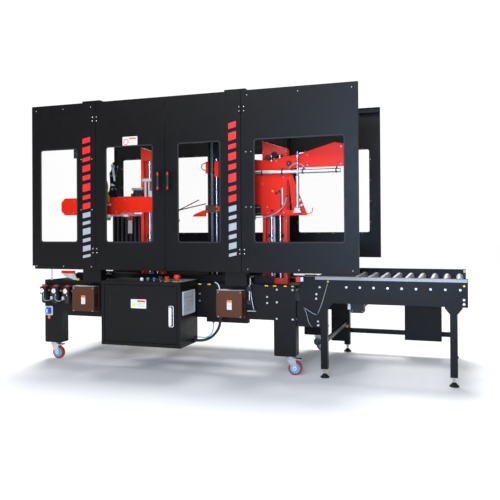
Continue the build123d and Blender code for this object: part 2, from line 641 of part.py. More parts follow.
def kicker_arm():
    """Black curved arm that folds the trailing flap; it turns on a cross shaft."""
    outer = 330.0
    inner = 290.0
    centre_x = KICKER_X - 300.0
    centre_z = KICKER_Z - 120.0
    ring = rod("Y", CENTRE_Y - 12, CENTRE_Y + 12, centre_x, centre_z, outer)
    ring -= rod("Y", CENTRE_Y - 13, CENTRE_Y + 13, centre_x, centre_z, inner)
    keep = block(centre_x + 200, KICKER_X + 60, CENTRE_Y - 12, CENTRE_Y + 12, FOLD_LOW + 12, KICKER_Z - 8)
    arm = ring & keep
    arm += rod("Y", CENTRE_Y - 24, CENTRE_Y + 24, KICKER_X, KICKER_Z, 22.0)
    arm += block(KICKER_X - 32, KICKER_X + 14, CENTRE_Y - 12, CENTRE_Y + 12, KICKER_Z - 60, KICKER_Z)
    arm -= rod("Y", CENTRE_Y - 30, CENTRE_Y + 30, KICKER_X, KICKER_Z, 8.0 + RUNNING)
    return arm


def belt_unit(side):
    """Side belt unit: housing, belt, end drums and slide arms. side is -1 at the front, +1 at the rear."""
    x0, x1 = BELT_X
    inner = CENTRE_Y + side * BELT_REST_HALF
    outer = inner + side * BELT_DEPTH
    y0, y1 = sorted((inner, outer))
    unit = soft_block(x0, x1, y0, y1, BELT_LOW, BELT_HIGH, 27.0, Axis.Z)
    unit -= block(x0 + 40, x1 - 110, y0 + 6, y1 - 6, BELT_LOW + 6, BELT_HIGH - 6)
    for centre in BELT_ROD_X:
        arm = block(centre - 22, centre + 22, y0, y1, BELT_ROD_Z - 22, BELT_LOW)
        arm -= rod("Y", y0 - 1, y1 + 1, centre, BELT_ROD_Z, BELT_ROD_R + RUNNING)
        unit += arm
    motor_y = (y0 + y1) / 2
    unit += rod("Z", BELT_HIGH - 1, BELT_HIGH + 90, x1 - 55, motor_y, 26.0)
    return unit


def rear_towers():
    """Upright press rollers on the rear belt unit."""
    y = CENTRE_Y + BELT_REST_HALF + BELT_DEPTH / 2
    towers = None
    for index in range(4):
        tower = rod("Z", BELT_HIGH - 2, 1120.0, 660.0 + 70.0 * index, y, 16.0)
        towers = tower if towers is None else towers + tower
    bar = block(640.0, 890.0, y - 14, y + 14, 1110.0, 1130.0)
    return towers + bar


# ------------------------------------------------------------------ cabinet and controls

def cabinet_shell():
    """Sheet cabinet hung on the front girder, with an inset door opening and button holes in its top."""
    shell = block(CABINET_LEFT, CABINET_RIGHT, CABINET_FRONT, BASE_FRONT, CABINET_LOW, CABINET_HIGH)
    shell -= block(CABINET_LEFT + SHEET, CABINET_RIGHT - SHEET, CABINET_FRONT + 22, BASE_FRONT - SHEET,
                   CABINET_LOW + SHEET, CABINET_HIGH - SHEET)
    border = CABINET_BORDER
    shell -= block(CABINET_LEFT + border, CABINET_RIGHT - border, CABINET_FRONT - 1, CABINET_FRONT + 23,
                   CABINET_LOW + border, CABINET_HIGH - border)
    pin_x, pin_y = cabinet_pin()
    for z0, z1 in ((CABINET_LOW + border - 10, CABINET_LOW + border + 1),
                   (CABINET_HIGH - border - 1, CABINET_HIGH - border + 10)):
        shell -= rod("Z", z0, z1, pin_x, pin_y, CABINET_PIN_R + RUNNING)
    for index in range(1, 5):
        shell -= rod("Z", CABINET_HIGH - 9, CABINET_HIGH + 1, BUTTON_FIRST_X + index * BUTTON_PITCH, BUTTON_Y,
                     STEM_R + STEM_GAP)
    shell -= rod("Z", CABINET_HIGH - 9, CABINET_HIGH + 1, STOP_X, BUTTON_Y, STEM_R + STEM_GAP)
    shell -= rod("X", CABINET_RIGHT - 9, CABINET_RIGHT + 1, CONDUIT_ROUTE[0][1], CONDUIT_ROUTE[0][2], 11.0)
    shell += glands()[0]
    return shell


def cabinet_pin():
    """Hinge pin position of the cabinet door."""
    door_left = CABINET_LEFT + CABINET_BORDER + CABINET_GAP
    return door_left + CABINET_PIN_INSET, CABINET_FRONT + CABINET_PIN_INSET


def cabinet_door():
    border = CABINET_BORDER + CABINET_GAP
    x0, x1 = CABINET_LEFT + border, CABINET_RIGHT - border
    z0, z1 = CABINET_LOW + border, CABINET_HIGH - border
    y1 = CABINET_FRONT + CABINET_DOOR_THICK
    door = block(x0, x1, CABINET_FRONT, y1, z0, z1)
    door -= block(x0 + 20, x1 - 20, CABINET_FRONT + SHEET, y1 + 1, z0 + 16, z1 - 16)
    pin_x, pin_y = cabinet_pin()
    reach = CABINET_GAP + 8.0
    door += rod("Z", z0 - reach, z0 + 4, pin_x, pin_y, CABINET_PIN_R)
    door += rod("Z", z1 - 4, z1 + reach, pin_x, pin_y, CABINET_PIN_R)
    door += soft_block(LATCH_X - 15, LATCH_X + 15, CABINET_FRONT - 6, CABINET_FRONT + 1,
                       LATCH_PIVOT_Z - LATCH_LENGTH, LATCH_PIVOT_Z + 18, 8.0, Axis.Y)
    door += rod("Y", CABINET_FRONT - 16, CABINET_FRONT, LATCH_X, LATCH_PIVOT_Z, 5.0)
    return door


def cabinet_latch():
    """Swing handle that turns on the pivot of the cabinet door's latch plate."""
    y0 = LATCH_FRONT
    y1 = CABINET_FRONT - 8
    lever = soft_block(LATCH_X - 9, LATCH_X + 9, y0, y1, LATCH_PIVOT_Z - LATCH_LENGTH + 8, LATCH_PIVOT_Z + 12,
                       6.0, Axis.Y)
    lever -= rod("Y", y0 + 8, y1 + 1, LATCH_X, LATCH_PIVOT_Z, 5.0 + RUNNING)
    return lever


def cabinet_vent():
    """Filter grille on the right side of the cabinet: frame with louvre bars."""
    x0 = CABINET_RIGHT
    x1 = x0 + VENT_DEPTH
    y0, y1 = VENT_Y
    z0, z1 = VENT_Z
    vent = block(x0, x1, y0, y1, z0, z1)
    vent -= block(x0 + 2, x1 + 1, y0 + VENT_RIM, y1 - VENT_RIM, z0 + VENT_RIM, z1 - VENT_RIM)
    pitch = (z1 - z0 - 2 * VENT_RIM) / VENT_BARS
    for index in range(VENT_BARS):
        low = z0 + VENT_RIM + pitch * (index + 0.25)
        vent += block(x0 + 1, x1 - 1, y0 + VENT_RIM - 1, y1 - VENT_RIM + 1, low, low + pitch * 0.5)
    return vent


def push_button(x, cap_r, cap_low, cap_high):
    """Button cap above the cabinet top on a stem through it."""
    cap = rod("Z", cap_low, cap_high, x, BUTTON_Y, cap_r)
    cap = fillet(cap.edges().sort_by(Axis.Z)[-1], 2.0)
    return cap + rod("Z", CABINET_HIGH - STEM_LENGTH, cap_low + 1, x, BUTTON_Y, STEM_R)


def selector():
    x = BUTTON_FIRST_X + 3 * BUTTON_PITCH
    knob = push_button(x, 13.0, CABINET_HIGH + 12, CABINET_HIGH + 22)
    return knob + block(x - 13, x + 13, BUTTON_Y - 4, BUTTON_Y + 4, CABINET_HIGH + 21, CABINET_HIGH + 34)


def emergency_stop():
    """Mushroom head on a stem."""
    head = rod("Z", CABINET_HIGH + 28, CABINET_HIGH + 50, STOP_X, BUTTON_Y, 22.0)
    head = fillet(head.edges().sort_by(Axis.Z)[-1], 8.0)
    neck = rod("Z", CABINET_HIGH + 16, CABINET_HIGH + 29, STOP_X, BUTTON_Y, 13.0)
    return head + neck + rod("Z", CABINET_HIGH - STEM_LENGTH, CABINET_HIGH + 17, STOP_X, BUTTON_Y, STEM_R)


def isolator_knob():
    """Turning knob of the main isolator, on its square plate's spindle."""
    x, z = ISOLATOR_X, ISOLATOR_Z
    knob = soft_block(x - ISOLATOR_HALF, x + ISOLATOR_HALF, BASE_FRONT - 34, BASE_FRONT - 10,
                      z - ISOLATOR_HALF, z + ISOLATOR_HALF, 5.0, Axis.Y)
    knob += rod("Y", BASE_FRONT - 11, BASE_FRONT - 2, x, z, 12.0)
    return knob


def drive_covers():
    """Two sheet covers over the belt drives, open at the back."""
    covers = []
    for x0 in COVER_X:
        x1 = x0 + COVER_WIDTH
        cover = soft_block(x0, x1, COVER_FRONT, BASE_FRONT, COVER_LOW, COVER_HIGH, 6.0, Axis.Y)
        cover -= block(x0 + SHEET, x1 - SHEET, COVER_FRONT + SHEET, BASE_FRONT + 1,
                       COVER_LOW + SHEET, COVER_HIGH - SHEET)
        covers.append(cover)
    return covers


def air_unit():
    """Filter, regulator and lubricator bodies on one bar in front of the left leg and girder."""
    y = BASE_FRONT - AIR_INSET
    unit = block(*AIR_BAR, BASE_FRONT - 14, BASE_FRONT, 570.0, 600.0)
    for x in GAUGE_X:
        unit += block(x - 26, x + 26, y - 26, BASE_FRONT - 13, 532.0, 590.0)
        unit += rod("Z", BOWL_LOW, 533.0, x, y, BOWL_R)
        unit += rod("Z", 589.0, 606.0, x, y, BOWL_R - 2)
        unit += rod("Y", y - 38, y - 20, x, INLET_Z, 19.0)
    inlet_face = GAUGE_X[0] - 26
    return unit - rod("X", inlet_face - 1, inlet_face + INLET_DEPTH, y, INLET_Z, INLET_R)


# ------------------------------------------------------------------ castors

def castor_places():
    """Swivel axis of each castor."""
    front = BASE_FRONT + CASTOR_INSET_Y
    rear = BASE_REAR - CASTOR_INSET_Y
    return {"front_left": (CASTOR_LEFT_X, front), "front_right": (CASTOR_RIGHT_X, front),
            "rear_left": (CASTOR_LEFT_X, rear), "rear_right": (CASTOR_RIGHT_X, rear)}


def castor_fork(x, y):
    """Swivel head, bent fork, axle and brake pedal."""
    axle_x = x + CASTOR_TRAIL
    top = CASTOR_TOP
    fork = rod("Z", top - 14, top - 0.3, x, y, 34.0)
    fork += block(x - 30, x + 40, y - 25, y + 25, top - 20, top - 12)
    for side in (-1, 1):
        y0, y1 = sorted((y + side * 21, y + side * 25))
        fork += slab_xz([(x - 30, top - 13), (x + 40, top - 13), (axle_x + 15, WHEEL_R - 10),
                         (axle_x - 13, WHEEL_R - 10)], y0, y1)
    fork += rod("Y", y - 29, y + 29, axle_x, WHEEL_R, AXLE_R)
    fork += block(x + 32, x + 78, y - 22, y + 22, top - 24, top - 18)
    return fork


def castor_wheel(x, y):
    axle_x = x + CASTOR_TRAIL
    wheel = rod("Y", y - WHEEL_WIDTH / 2, y + WHEEL_WIDTH / 2, axle_x, WHEEL_R, WHEEL_R)
    wheel = fillet(wheel.edges(), 6.0)
    wheel += rod("Y", y - 20, y + 20, axle_x, WHEEL_R, 13.0)
    wheel -= rod("Y", y - 30, y + 30, axle_x, WHEEL_R, AXLE_R + RUNNING)
    return wheel


# ------------------------------------------------------------------ conveyor

def roller_places():
    return [ROLLER_LAST_X - ROLLER_PITCH * index for index in range(ROLLER_COUNT)][::-1]


def conveyor_rail(face_y, inward):
    """Channel rail: web with flanges turned inward at top and bottom."""
    web_y = face_y + inward * 4.0
    flange_y = face_y + inward * RAIL_FLANGE
    rail = block(RAIL_START, CONVEYOR_END, face_y, web_y, RAIL_LOW, RAIL_HIGH)
    rail += block(RAIL_START, CONVEYOR_END, face_y, flange_y, RAIL_HIGH - 4, RAIL_HIGH)
    rail += block(RAIL_START, CONVEYOR_END, face_y, flange_y, RAIL_LOW, RAIL_LOW + 4)
    return rail


def conveyor_frame():
    """Two rails, cross tubes, the transfer plate and the fixed axles of the rollers."""
    frame = conveyor_rail(RAIL_FRONT, 1) + conveyor_rail(RAIL_REAR, -1)
    for x in (*SUPPORT_X, sum(GEARBOX_X) / 2):
        frame += tube_block(x - 20, x + 20, RAIL_FRONT + 3, RAIL_REAR - 3, RAIL_LOW + 4, RAIL_LOW + 44,
                            SHEET, "Y")
    for x in roller_places():
        frame += rod("Y", RAIL_FRONT + 2, RAIL_REAR - 2, x, ROLLER_Z, ROLLER_AXLE_R)
    first = roller_places()[0]
    plate_end = first - ROLLER_R - 8
    frame += block(RAIL_START, plate_end, RAIL_FRONT + 3, RAIL_REAR - 3, CARTON_LEVEL - 5, CARTON_LEVEL)
    for height in SPLICE_HEIGHTS:
        frame -= rod("Y", RAIL_FRONT - 1, RAIL_REAR + 1, SPLICE_X, height, SPLICE_R)
    for y0, y1 in ((RAIL_FRONT + 5, RAIL_FRONT + 44), (RAIL_REAR - 44, RAIL_REAR - 5)):
        frame += tube_block(DOCK_START, SUPPORT_X[0] - SUPPORT_WIDTH / 2 - 1, y0, y1, DOCK_LOW, RAIL_LOW + 5,
                            SHEET, "X")
        frame += block(RAIL_START, RAIL_START + 40, y0 - 4, y1 + 4, RAIL_LOW - 3, RAIL_LOW + 5)
    return frame


def conveyor_roller(x):
    """Steel tube with end caps on a fixed axle."""
    y0, y1 = RAIL_FRONT + RAIL_FLANGE + 2, RAIL_REAR - RAIL_FLANGE - 2
    roller = rod("Y", y0, y1, x, ROLLER_Z, ROLLER_R)
    roller -= rod("Y", y0 + 14, y1 - 14, x, ROLLER_Z, ROLLER_R - ROLLER_WALL)
    roller -= rod("Y", y0 - 1, y1 + 1, x, ROLLER_Z, ROLLER_AXLE_R + RUNNING)
    return roller


def conveyor_supports():
    """Four legs with gussets, the rear stretcher and two sheet covers."""
    half = SUPPORT_WIDTH / 2
    pieces = []
    rear = None
    for y0, y1 in ((RAIL_FRONT, RAIL_FRONT + 44), (RAIL_REAR - 44, RAIL_REAR)):
        for x in SUPPORT_X:
            leg = tube_block(x - half, x + half, y0, y1, FOOT_TOP, RAIL_LOW, SHEET, "Z")
            leg += block(x - half, x + half, y0, y1, FOOT_TOP, FOOT_TOP + 8)
            leg -= rod("Z", FOOT_TOP - 1, FOOT_TOP + 9, x, (y0 + y1) / 2, 8.0)
            face = y0 if y0 < CENTRE_Y else y1 - GUSSET_THICK
            leg += slab_xz([(x - GUSSET_HALF, RAIL_LOW), (x + GUSSET_HALF, RAIL_LOW),
                            (x + GUSSET_HALF, RAIL_LOW - 8), (x + half, RAIL_LOW - 48),
                            (x - half, RAIL_LOW - 48), (x - GUSSET_HALF, RAIL_LOW - 8)],
                           face, face + GUSSET_THICK)
            if y1 > CENTRE_Y:
                rear = leg if rear is None else rear + leg
            else:
                pieces.append(leg)
    x0, x1 = SUPPORT_X[0] + half - 1, SUPPORT_X[1] - half + 1
    rear += tube_block(x0, x1, RAIL_REAR - 40, RAIL_REAR - 5, 165.0, 200.0, SHEET, "X")
    pieces.append(rear)
    for x0, x1, low in SIDE_COVERS:
        cover = block(x0, x1, RAIL_REAR - 84, RAIL_REAR - 46, low, RAIL_LOW)
        cover -= block(x0 + SHEET, x1 - SHEET, RAIL_REAR - 81, RAIL_REAR - 45, low + SHEET, RAIL_LOW - SHEET)
        pieces.append(cover)
    return pieces


def levelling_feet():
    """Threaded stem with a cone and a round pad under each support."""
    feet = []
    for y in (RAIL_FRONT + 22, RAIL_REAR - 22):
        for x in SUPPORT_X:
            foot = rod("Z", 0, 8, x, y, 30.0)
            foot += Pos(x, y, 18) * Cone(26, 9, 20)
            foot += rod("Z", 25, FOOT_TOP + 30, x, y, 7.9)
            foot += rod("Z", FOOT_TOP - 10, FOOT_TOP, x, y, 13.0)
            feet.append(foot)
    return feet


def conveyor_gearmotor():
    """Gearbox and motor of the roller drive, hung under the conveyor."""
    x_mid = (GEARBOX_X[0] + GEARBOX_X[1]) / 2
    gearbox = soft_block(*GEARBOX_X, *GEARBOX_Y, GEARBOX_LOW, RAIL_LOW - 8, 10.0, Axis.Y)
    motor = rod("Y", GEARBOX_Y[1] - 1, MOTOR_END_Y, x_mid, MOTOR_Z, MOTOR_R)
    hanger = block(x_mid - 30, x_mid + 30, GEARBOX_Y[0] + 10, GEARBOX_Y[1] - 10, RAIL_LOW - 9, RAIL_LOW + 4)
    return gearbox + motor + hanger


# ------------------------------------------------------------------ cords

def cord_radii(route):
    """Radius of each corner's arc: 0.45 of the shorter run over the tangent of half the turn."""
    radii = []
    for before, here, after in zip(route, route[1:], route[2:]):
        run_in = Vector(*here) - Vector(*before)
        run_out = Vector(*after) - Vector(*here)
        turn = math.radians(run_in.get_angle(run_out))
        radii.append(0.45 * min(run_in.length, run_out.length) / math.tan(turn / 2))
    return radii


def cord_tube(route, radius):
    """Plain tube of straight runs joined by tangent arcs."""
    path = FilletPolyline(*route, radius=cord_radii(route))
    start = Vector(*route[1]) - Vector(*route[0])
    section = Plane(origin=route[0], z_dir=start) * Circle(radius)
    tube = sweep(section, path=path)
    print("cord radii", [round(r) for r in cord_radii(route)], "length", round(path.length))
    print("volume ratio", round(tube.volume / (math.pi * radius ** 2 * path.length), 4))
    return tube


def glands():
    """Round glands at both ends of the conduit and fittings at both ends of the air hose."""
    x, y, z = CONDUIT_ROUTE[0]
    at_cabinet = rod("X", CABINET_RIGHT - 1, x, y, z, 16.0)
    x, y, z = CONDUIT_ROUTE[-1]
    at_cover = rod("Z", z, 411.0, x, y, 16.0)
    x, y, z = HOSE_ROUTE[0]
    hose_start = rod("X", CABINET_RIGHT - 1, x, y, z, 7.0)
    x, y, z = HOSE_ROUTE[-1]
    hose_end = rod("Z", z, DRIVE_TRAY_BOTTOM + 1, x, y, 7.0)
    return at_cabinet + hose_start, at_cover, hose_end


# ------------------------------------------------------------------ fasteners

def frame_bolts():
    """Visible bolt heads on the legs, girder and conveyor rails."""
    bolts = []
    for offset, z in LEG_BOLTS:
        bolts.append(rod("Y", BASE_FRONT - BOLT_HEAD, BASE_FRONT, LEG_RIGHT_X + offset, z, BOLT_R))
    for x in roller_places():
        bolts.append(rod("Y", RAIL_FRONT - BOLT_HEAD, RAIL_FRONT, x, RAIL_BOLT_Z, ROLLER_BOLT_R))
        bolts.append(rod("Y", RAIL_REAR, RAIL_REAR + BOLT_HEAD, x, RAIL_BOLT_Z, ROLLER_BOLT_R))
    return bolts


def group(solids):
    """Compound of separate solids."""
    return Compound(list(solids))


def all_nodes():
    """Every part of the machine by its name."""
    nodes = {}
    nodes["bed_frame"] = group([bed_frame()] + slide_decks())
    nodes["bed_legs"] = group(bed_legs())
    nodes["guard_frame"] = guard_frame()
    nodes["front_guard_panels"] = group(front_fixed_panels())
    nodes["rear_guard_panels"] = group(rear_panels())
    nodes["fixed_panes"] = group(fixed_panes())
    nodes["front_left_door"] = front_door(LEFT_HINGE_X, LEFT_HINGE_X + PANEL_GAP, DOOR_SPLIT_X - PANEL_GAP,
                                          LEFT_DOOR_WINDOW)
    nodes["front_right_door"] = front_door(RIGHT_HINGE_X, DOOR_SPLIT_X + PANEL_GAP, RIGHT_HINGE_X - PANEL_GAP,
                                           RIGHT_DOOR_WINDOW)
    nodes["front_left_pane"] = guard_pane(LEFT_DOOR_WINDOW, WINDOW_LOW, WINDOW_HIGH, 0, 1)
    nodes["front_right_pane"] = guard_pane(RIGHT_DOOR_WINDOW, WINDOW_LOW, WINDOW_HIGH, 0, 1)
    nodes["front_left_handle"] = bridge_handle(DOOR_SPLIT_X - HANDLE_OFFSET)
    nodes["front_right_handle"] = bridge_handle(DOOR_SPLIT_X + HANDLE_OFFSET)
    nodes["door_hinges"] = group(fixed_hinge_leaves())
    nodes["cabinet_shell"] = cabinet_shell()
    nodes["cabinet_door"] = cabinet_door()
    nodes["cabinet_latch"] = cabinet_latch()
    nodes["cabinet_vent"] = cabinet_vent()
    for name, index in (("start_button", 1), ("reset_button", 2), ("stop_button", 4)):
        nodes[name] = push_button(BUTTON_FIRST_X + index * BUTTON_PITCH, 12.0, CABINET_HIGH + 12,
                                  CABINET_HIGH + 26)
    nodes["mode_selector"] = selector()
    nodes["emergency_stop"] = emergency_stop()
    nodes["isolator_knob"] = isolator_knob()
    covers = drive_covers()
    nodes["drive_covers"] = group([covers[0], covers[1] + glands()[1]])
    nodes["air_unit"] = air_unit()
    nodes["head_masts"] = group([mast(MAST_LEFT_X), mast(MAST_RIGHT_X)])
    nodes["taping_carriage"] = taping_carriage()
    nodes["upper_tape_unit"] = upper_tape_unit()
    nodes["upper_tape_reel"] = tape_reel()
    nodes["upper_entry_arm"] = roller_arm(TAPE_UNIT_X[1] - 95, 1)
    nodes["upper_exit_arm"] = roller_arm(TAPE_UNIT_X[0] + 95, -1)
    nodes["lower_tape_unit"] = lower_tape_unit()
    nodes["folder_carriage"] = folder_carriage()
    nodes["kicker_arm"] = kicker_arm()
    nodes["front_belt_unit"] = belt_unit(-1)
    nodes["rear_belt_unit"] = belt_unit(1) + rear_towers()
    for place, (x, y) in castor_places().items():
        nodes["castor_fork_" + place] = castor_fork(x, y)
        nodes["castor_wheel_" + place] = castor_wheel(x, y)
    nodes["conveyor_frame"] = conveyor_frame()
    nodes["conveyor_supports"] = group(conveyor_supports())
    for index, x in enumerate(roller_places(), start=1):
        nodes["conveyor_roller_%d" % index] = conveyor_roller(x)
    nodes["levelling_feet"] = group(levelling_feet())
    nodes["conveyor_gearmotor"] = conveyor_gearmotor()
    nodes["control_conduit"] = cord_tube(CONDUIT_ROUTE, CONDUIT_R)
    nodes["air_hose"] = cord_tube(HOSE_ROUTE, HOSE_R)
    nodes["frame_bolts"] = group(frame_bolts())
    return nodes


NODES = all_nodes()
os.makedirs("parts", exist_ok=True)
for node_name, shape in NODES.items():
    export_step(shape.moved(Location((-ORIGIN_X, -ORIGIN_Y, 0))), "parts/" + node_name + ".step")
print(len(NODES), "nodes")
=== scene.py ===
import json
from math import cos, pi, radians, sin

import bmesh
import bpy
from mathutils import Matrix, Vector


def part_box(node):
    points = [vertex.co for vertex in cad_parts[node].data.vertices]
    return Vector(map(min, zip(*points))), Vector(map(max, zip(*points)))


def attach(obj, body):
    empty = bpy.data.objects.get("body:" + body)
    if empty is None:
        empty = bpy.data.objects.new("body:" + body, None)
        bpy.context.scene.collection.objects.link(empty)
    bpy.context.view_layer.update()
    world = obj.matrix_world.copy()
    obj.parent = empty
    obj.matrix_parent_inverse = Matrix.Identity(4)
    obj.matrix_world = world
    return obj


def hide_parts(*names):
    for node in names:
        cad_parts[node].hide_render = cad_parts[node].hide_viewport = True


# Looks of the carton sealer. Every length below is in millimetres of the machine: x runs along the
# carton flow from the guard's left edge, y from the guard's front face to the rear, z up from the floor.

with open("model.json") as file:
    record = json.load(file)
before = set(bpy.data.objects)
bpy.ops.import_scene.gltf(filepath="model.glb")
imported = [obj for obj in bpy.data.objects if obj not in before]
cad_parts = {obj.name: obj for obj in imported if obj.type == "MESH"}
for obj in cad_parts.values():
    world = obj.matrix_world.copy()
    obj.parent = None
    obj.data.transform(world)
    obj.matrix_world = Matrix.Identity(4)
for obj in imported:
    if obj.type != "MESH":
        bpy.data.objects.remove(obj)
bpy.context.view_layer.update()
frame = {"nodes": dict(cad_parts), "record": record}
nodes = frame["nodes"]

MM = 0.001
guard_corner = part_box("front_guard_panels")[0]
CORNER = Vector((guard_corner.x, guard_corner.y, 0.0))
TO_ROW = Matrix.Translation(CORNER) @ Matrix.Scale(MM, 4)


class Span:
    """A CAD node's box in machine millimetres."""

    def __init__(self, node):
        low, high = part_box(node)
        self.x0, self.y0, self.z0 = (low - CORNER) / MM
        self.x1, self.y1, self.z1 = (high - CORNER) / MM
        self.x = (self.x0 + self.x1) / 2
        self.y = (self.y0 + self.y1) / 2
        self.z = (self.z0 + self.z1) / 2


def at(x, y, z):
    """A point of the machine in the row frame."""
    return TO_ROW @ Vector((x, y, z))


# ------------------------------------------------------------------ materials


class Graph:
    """A material's nodes: add() makes one, with each input either a number or another node's output."""

    def __init__(self, name, slot):
        self.material = bpy.data.materials.new(name)
        self.material.use_nodes = True
        self.tree = self.material.node_tree
        self.shader = self.tree.nodes["Principled BSDF"]
        self.where = self.add("TexCoord").outputs["Object"]

    def add(self, kind, settings=None, **inputs):
        node = self.tree.nodes.new("ShaderNode" + kind)
        for name, value in (settings or {}).items():
            setattr(node, name, value)
        self.feed(node, **inputs)
        return node

    def feed(self, node, **inputs):
        for name, value in inputs.items():
            socket = node.inputs[int(name[1:])] if name[1:].isdigit() else node.inputs[name.replace("_", " ")]
            if isinstance(value, bpy.types.NodeSocket):
                self.tree.links.new(value, socket)
            else:
                socket.default_value = value

    def noise(self, scale, detail=3.0, where=None):
        made = self.add("TexNoise", Vector=where or self.where, Scale=scale, Detail=detail)
        return made.outputs["Fac"]

    def stretched(self, x, y, z):
        """Coordinates scaled by a factor on each axis."""
        made = self.add("Mapping", Vector=self.where, Scale=(x, y, z))
        return made.outputs["Vector"]

    def between(self, fac, low, high, start=0.35, end=0.65):
        """Number that runs from low to high as fac runs from start to end."""
        made = self.add("MapRange", Value=fac, From_Min=start, From_Max=end, To_Min=low, To_Max=high)
        return made.outputs["Result"]

    def tint(self, fac, low, high, start=0.3, end=0.7):
        """Colour that runs from low to high as fac runs from start to end."""
        ramp = self.add("ValToRGB", Fac=fac)
        stops = ramp.color_ramp.elements
        stops[0].position = start
        stops[1].position = end
        stops[0].color = (*low, 1.0)
        stops[1].color = (*high, 1.0)
        return ramp.outputs["Color"]

    def blend(self, fac, first, second):
        made = self.add("Mix", {"data_type": "RGBA"}, _0=fac, _6=first, _7=second)
        return made.outputs[2]

    def times(self, first, second):
        made = self.add("Math", {"operation": "MULTIPLY", "use_clamp": True}, _0=first, _1=second)
        return made.outputs[0]

    def soft_edges(self, radius):
        """Normal with its edges rounded, and a mask that is 1 on those edges."""
        rounded = self.add("Bevel", {"samples": 4}, Radius=radius).outputs["Normal"]
        true = self.add("NewGeometry").outputs["Normal"]
        dot = self.add("VectorMath", {"operation": "DOT_PRODUCT"}, _0=rounded, _1=true).outputs["Value"]
        return rounded, self.between(dot, 1.0, 0.0, 0.80, 0.985)

    def bump(self, height, strength, distance, normal=None):
        made = self.add("Bump", Height=height, Strength=strength, Distance=distance)
        if normal is not None:
            self.feed(made, Normal=normal)
        return made.outputs["Normal"]

    def finish(self, **inputs):
        self.feed(self.shader, **inputs)
        return self.material


def scaled(colour, factor):
    return tuple(min(1.0, c * factor) for c in colour)


def powder_coat(name, slot, colour, worn, roughness, drift=0.12):
    """Baked powder paint: fine orange peel, slow drift of tone, handling marks and lighter edges."""
    g = Graph(name, slot)
    rounded, edge = g.soft_edges(0.0016)
    broad = g.noise(2.6, 4.0)
    marks = g.noise(17.0, 6.0)
    peel = g.noise(620.0, 2.0)
    paint = g.tint(broad, scaled(colour, 1.0 - drift), scaled(colour, 1.0 + drift))
    scuff = g.times(edge, g.between(marks, 0.15, 0.9))
    g.finish(Base_Color=g.blend(scuff, paint, (*worn, 1.0)),
             Roughness=g.between(marks, roughness - 0.02, roughness + 0.04),
             Normal=g.bump(peel, 0.10, 0.0003, rounded))
    g.shader.inputs["Specular IOR Level"].default_value = 0.20
    return g.material


def moulded(name, slot, colour, roughness, grain=0.1):
    """Moulded plastic: a fine spark-eroded grain with faint sheen changes."""
    g = Graph(name, slot)
    rounded, edge = g.soft_edges(0.0008)
    broad = g.noise(9.0, 3.0)
    fine = g.noise(1500.0, 2.0)
    skin = g.tint(broad, scaled(colour, 0.88), scaled(colour, 1.12))
    g.finish(Base_Color=g.blend(g.times(edge, 0.25), skin, (*scaled(colour, 1.8), 1.0)),
             Roughness=g.between(broad, roughness - 0.05, roughness + 0.07),
             Normal=g.bump(fine, grain, 0.0002, rounded))
    return g.material


def metal(name, slot, colour, roughness, grain):
    """Bare or plated metal. grain gives how far the finish is stretched along each axis."""
    g = Graph(name, slot)
    rounded, edge = g.soft_edges(0.0008)
    lines = g.noise(260.0, 4.0, g.stretched(*grain))
    cloud = g.noise(22.0, 5.0)
    sheet = g.tint(cloud, scaled(colour, 0.86), scaled(colour, 1.1))
    g.finish(Base_Color=g.blend(edge, sheet, (*scaled(colour, 1.25), 1.0)),
             Metallic=1.0,
             Roughness=g.between(lines, roughness - 0.08, roughness + 0.12),
             Normal=g.bump(lines, 0.10, 0.0003, rounded))
    return g.material


def clear_pane(name, slot):
    """Clear polycarbonate: nearly invisible, with a gloss and faint cleaning marks."""
    g = Graph(name, slot)
    rim = g.add("Fresnel", IOR=1.5).outputs["Fac"]
    smear = g.noise(5.0, 5.0, g.stretched(1.0, 1.0, 0.3))
    g.finish(Base_Color=(0.02, 0.03, 0.04, 1.0), Roughness=g.between(smear, 0.02, 0.08),
             Alpha=g.between(rim, 0.02, 0.4, 0.04, 1.0))
    g.shader.inputs["Specular IOR Level"].default_value = 0.25
    return g.material


def wound_tape(name, slot, centre):
    """The side of a roll of packing tape: rings of slightly different tone round the reel's axis."""
    g = Graph(name, slot)
    off_axis = g.add("VectorMath", {"operation": "SUBTRACT"}, _0=g.where, _1=centre)
    flat = g.add("VectorMath", {"operation": "MULTIPLY"}, _0=off_axis.outputs[0], _1=(1.0, 0.0, 1.0))
    radius = g.add("VectorMath", {"operation": "LENGTH"}, _0=flat.outputs[0]).outputs["Value"]
    rings = g.noise(420.0, 3.0, g.add("CombineXYZ", X=radius).outputs[0])
    g.finish(Base_Color=g.tint(rings, (0.42, 0.27, 0.12), (0.62, 0.44, 0.24)),
             Roughness=g.between(rings, 0.22, 0.38), Normal=g.bump(rings, 0.3, 0.0006))
    g.shader.inputs["Coat Weight"].default_value = 0.35
    return g.material


def belt_rubber(name, slot):
    """Grip belt: woven cross ribs in dark rubber."""
    g = Graph(name, slot)
    ribs = g.add("TexWave", Vector=g.where, Scale=70.0, Distortion=0.4, Detail=2.0)
    dust = g.noise(60.0, 5.0)
    g.finish(Base_Color=g.tint(dust, (0.012, 0.012, 0.013), (0.045, 0.043, 0.04)),
             Roughness=g.between(dust, 0.62, 0.85),
             Normal=g.bump(ribs.outputs["Fac"], 0.5, 0.0008))
    return g.material


def tyre(name, slot):
    """Cast polyurethane: slight gloss, scuffs and dust on the tread."""
    g = Graph(name, slot)
    scuffs = g.noise(70.0, 6.0)
    worn = g.noise(30.0, 4.0)
    base = g.tint(worn, (0.40, 0.012, 0.018), (0.60, 0.025, 0.03))
    g.finish(Base_Color=g.blend(g.between(scuffs, 0.0, 0.25, 0.55, 0.8), base, (0.20, 0.13, 0.12, 1.0)),
             Roughness=g.between(scuffs, 0.32, 0.55), Normal=g.bump(scuffs, 0.15, 0.0004))
    return g.material


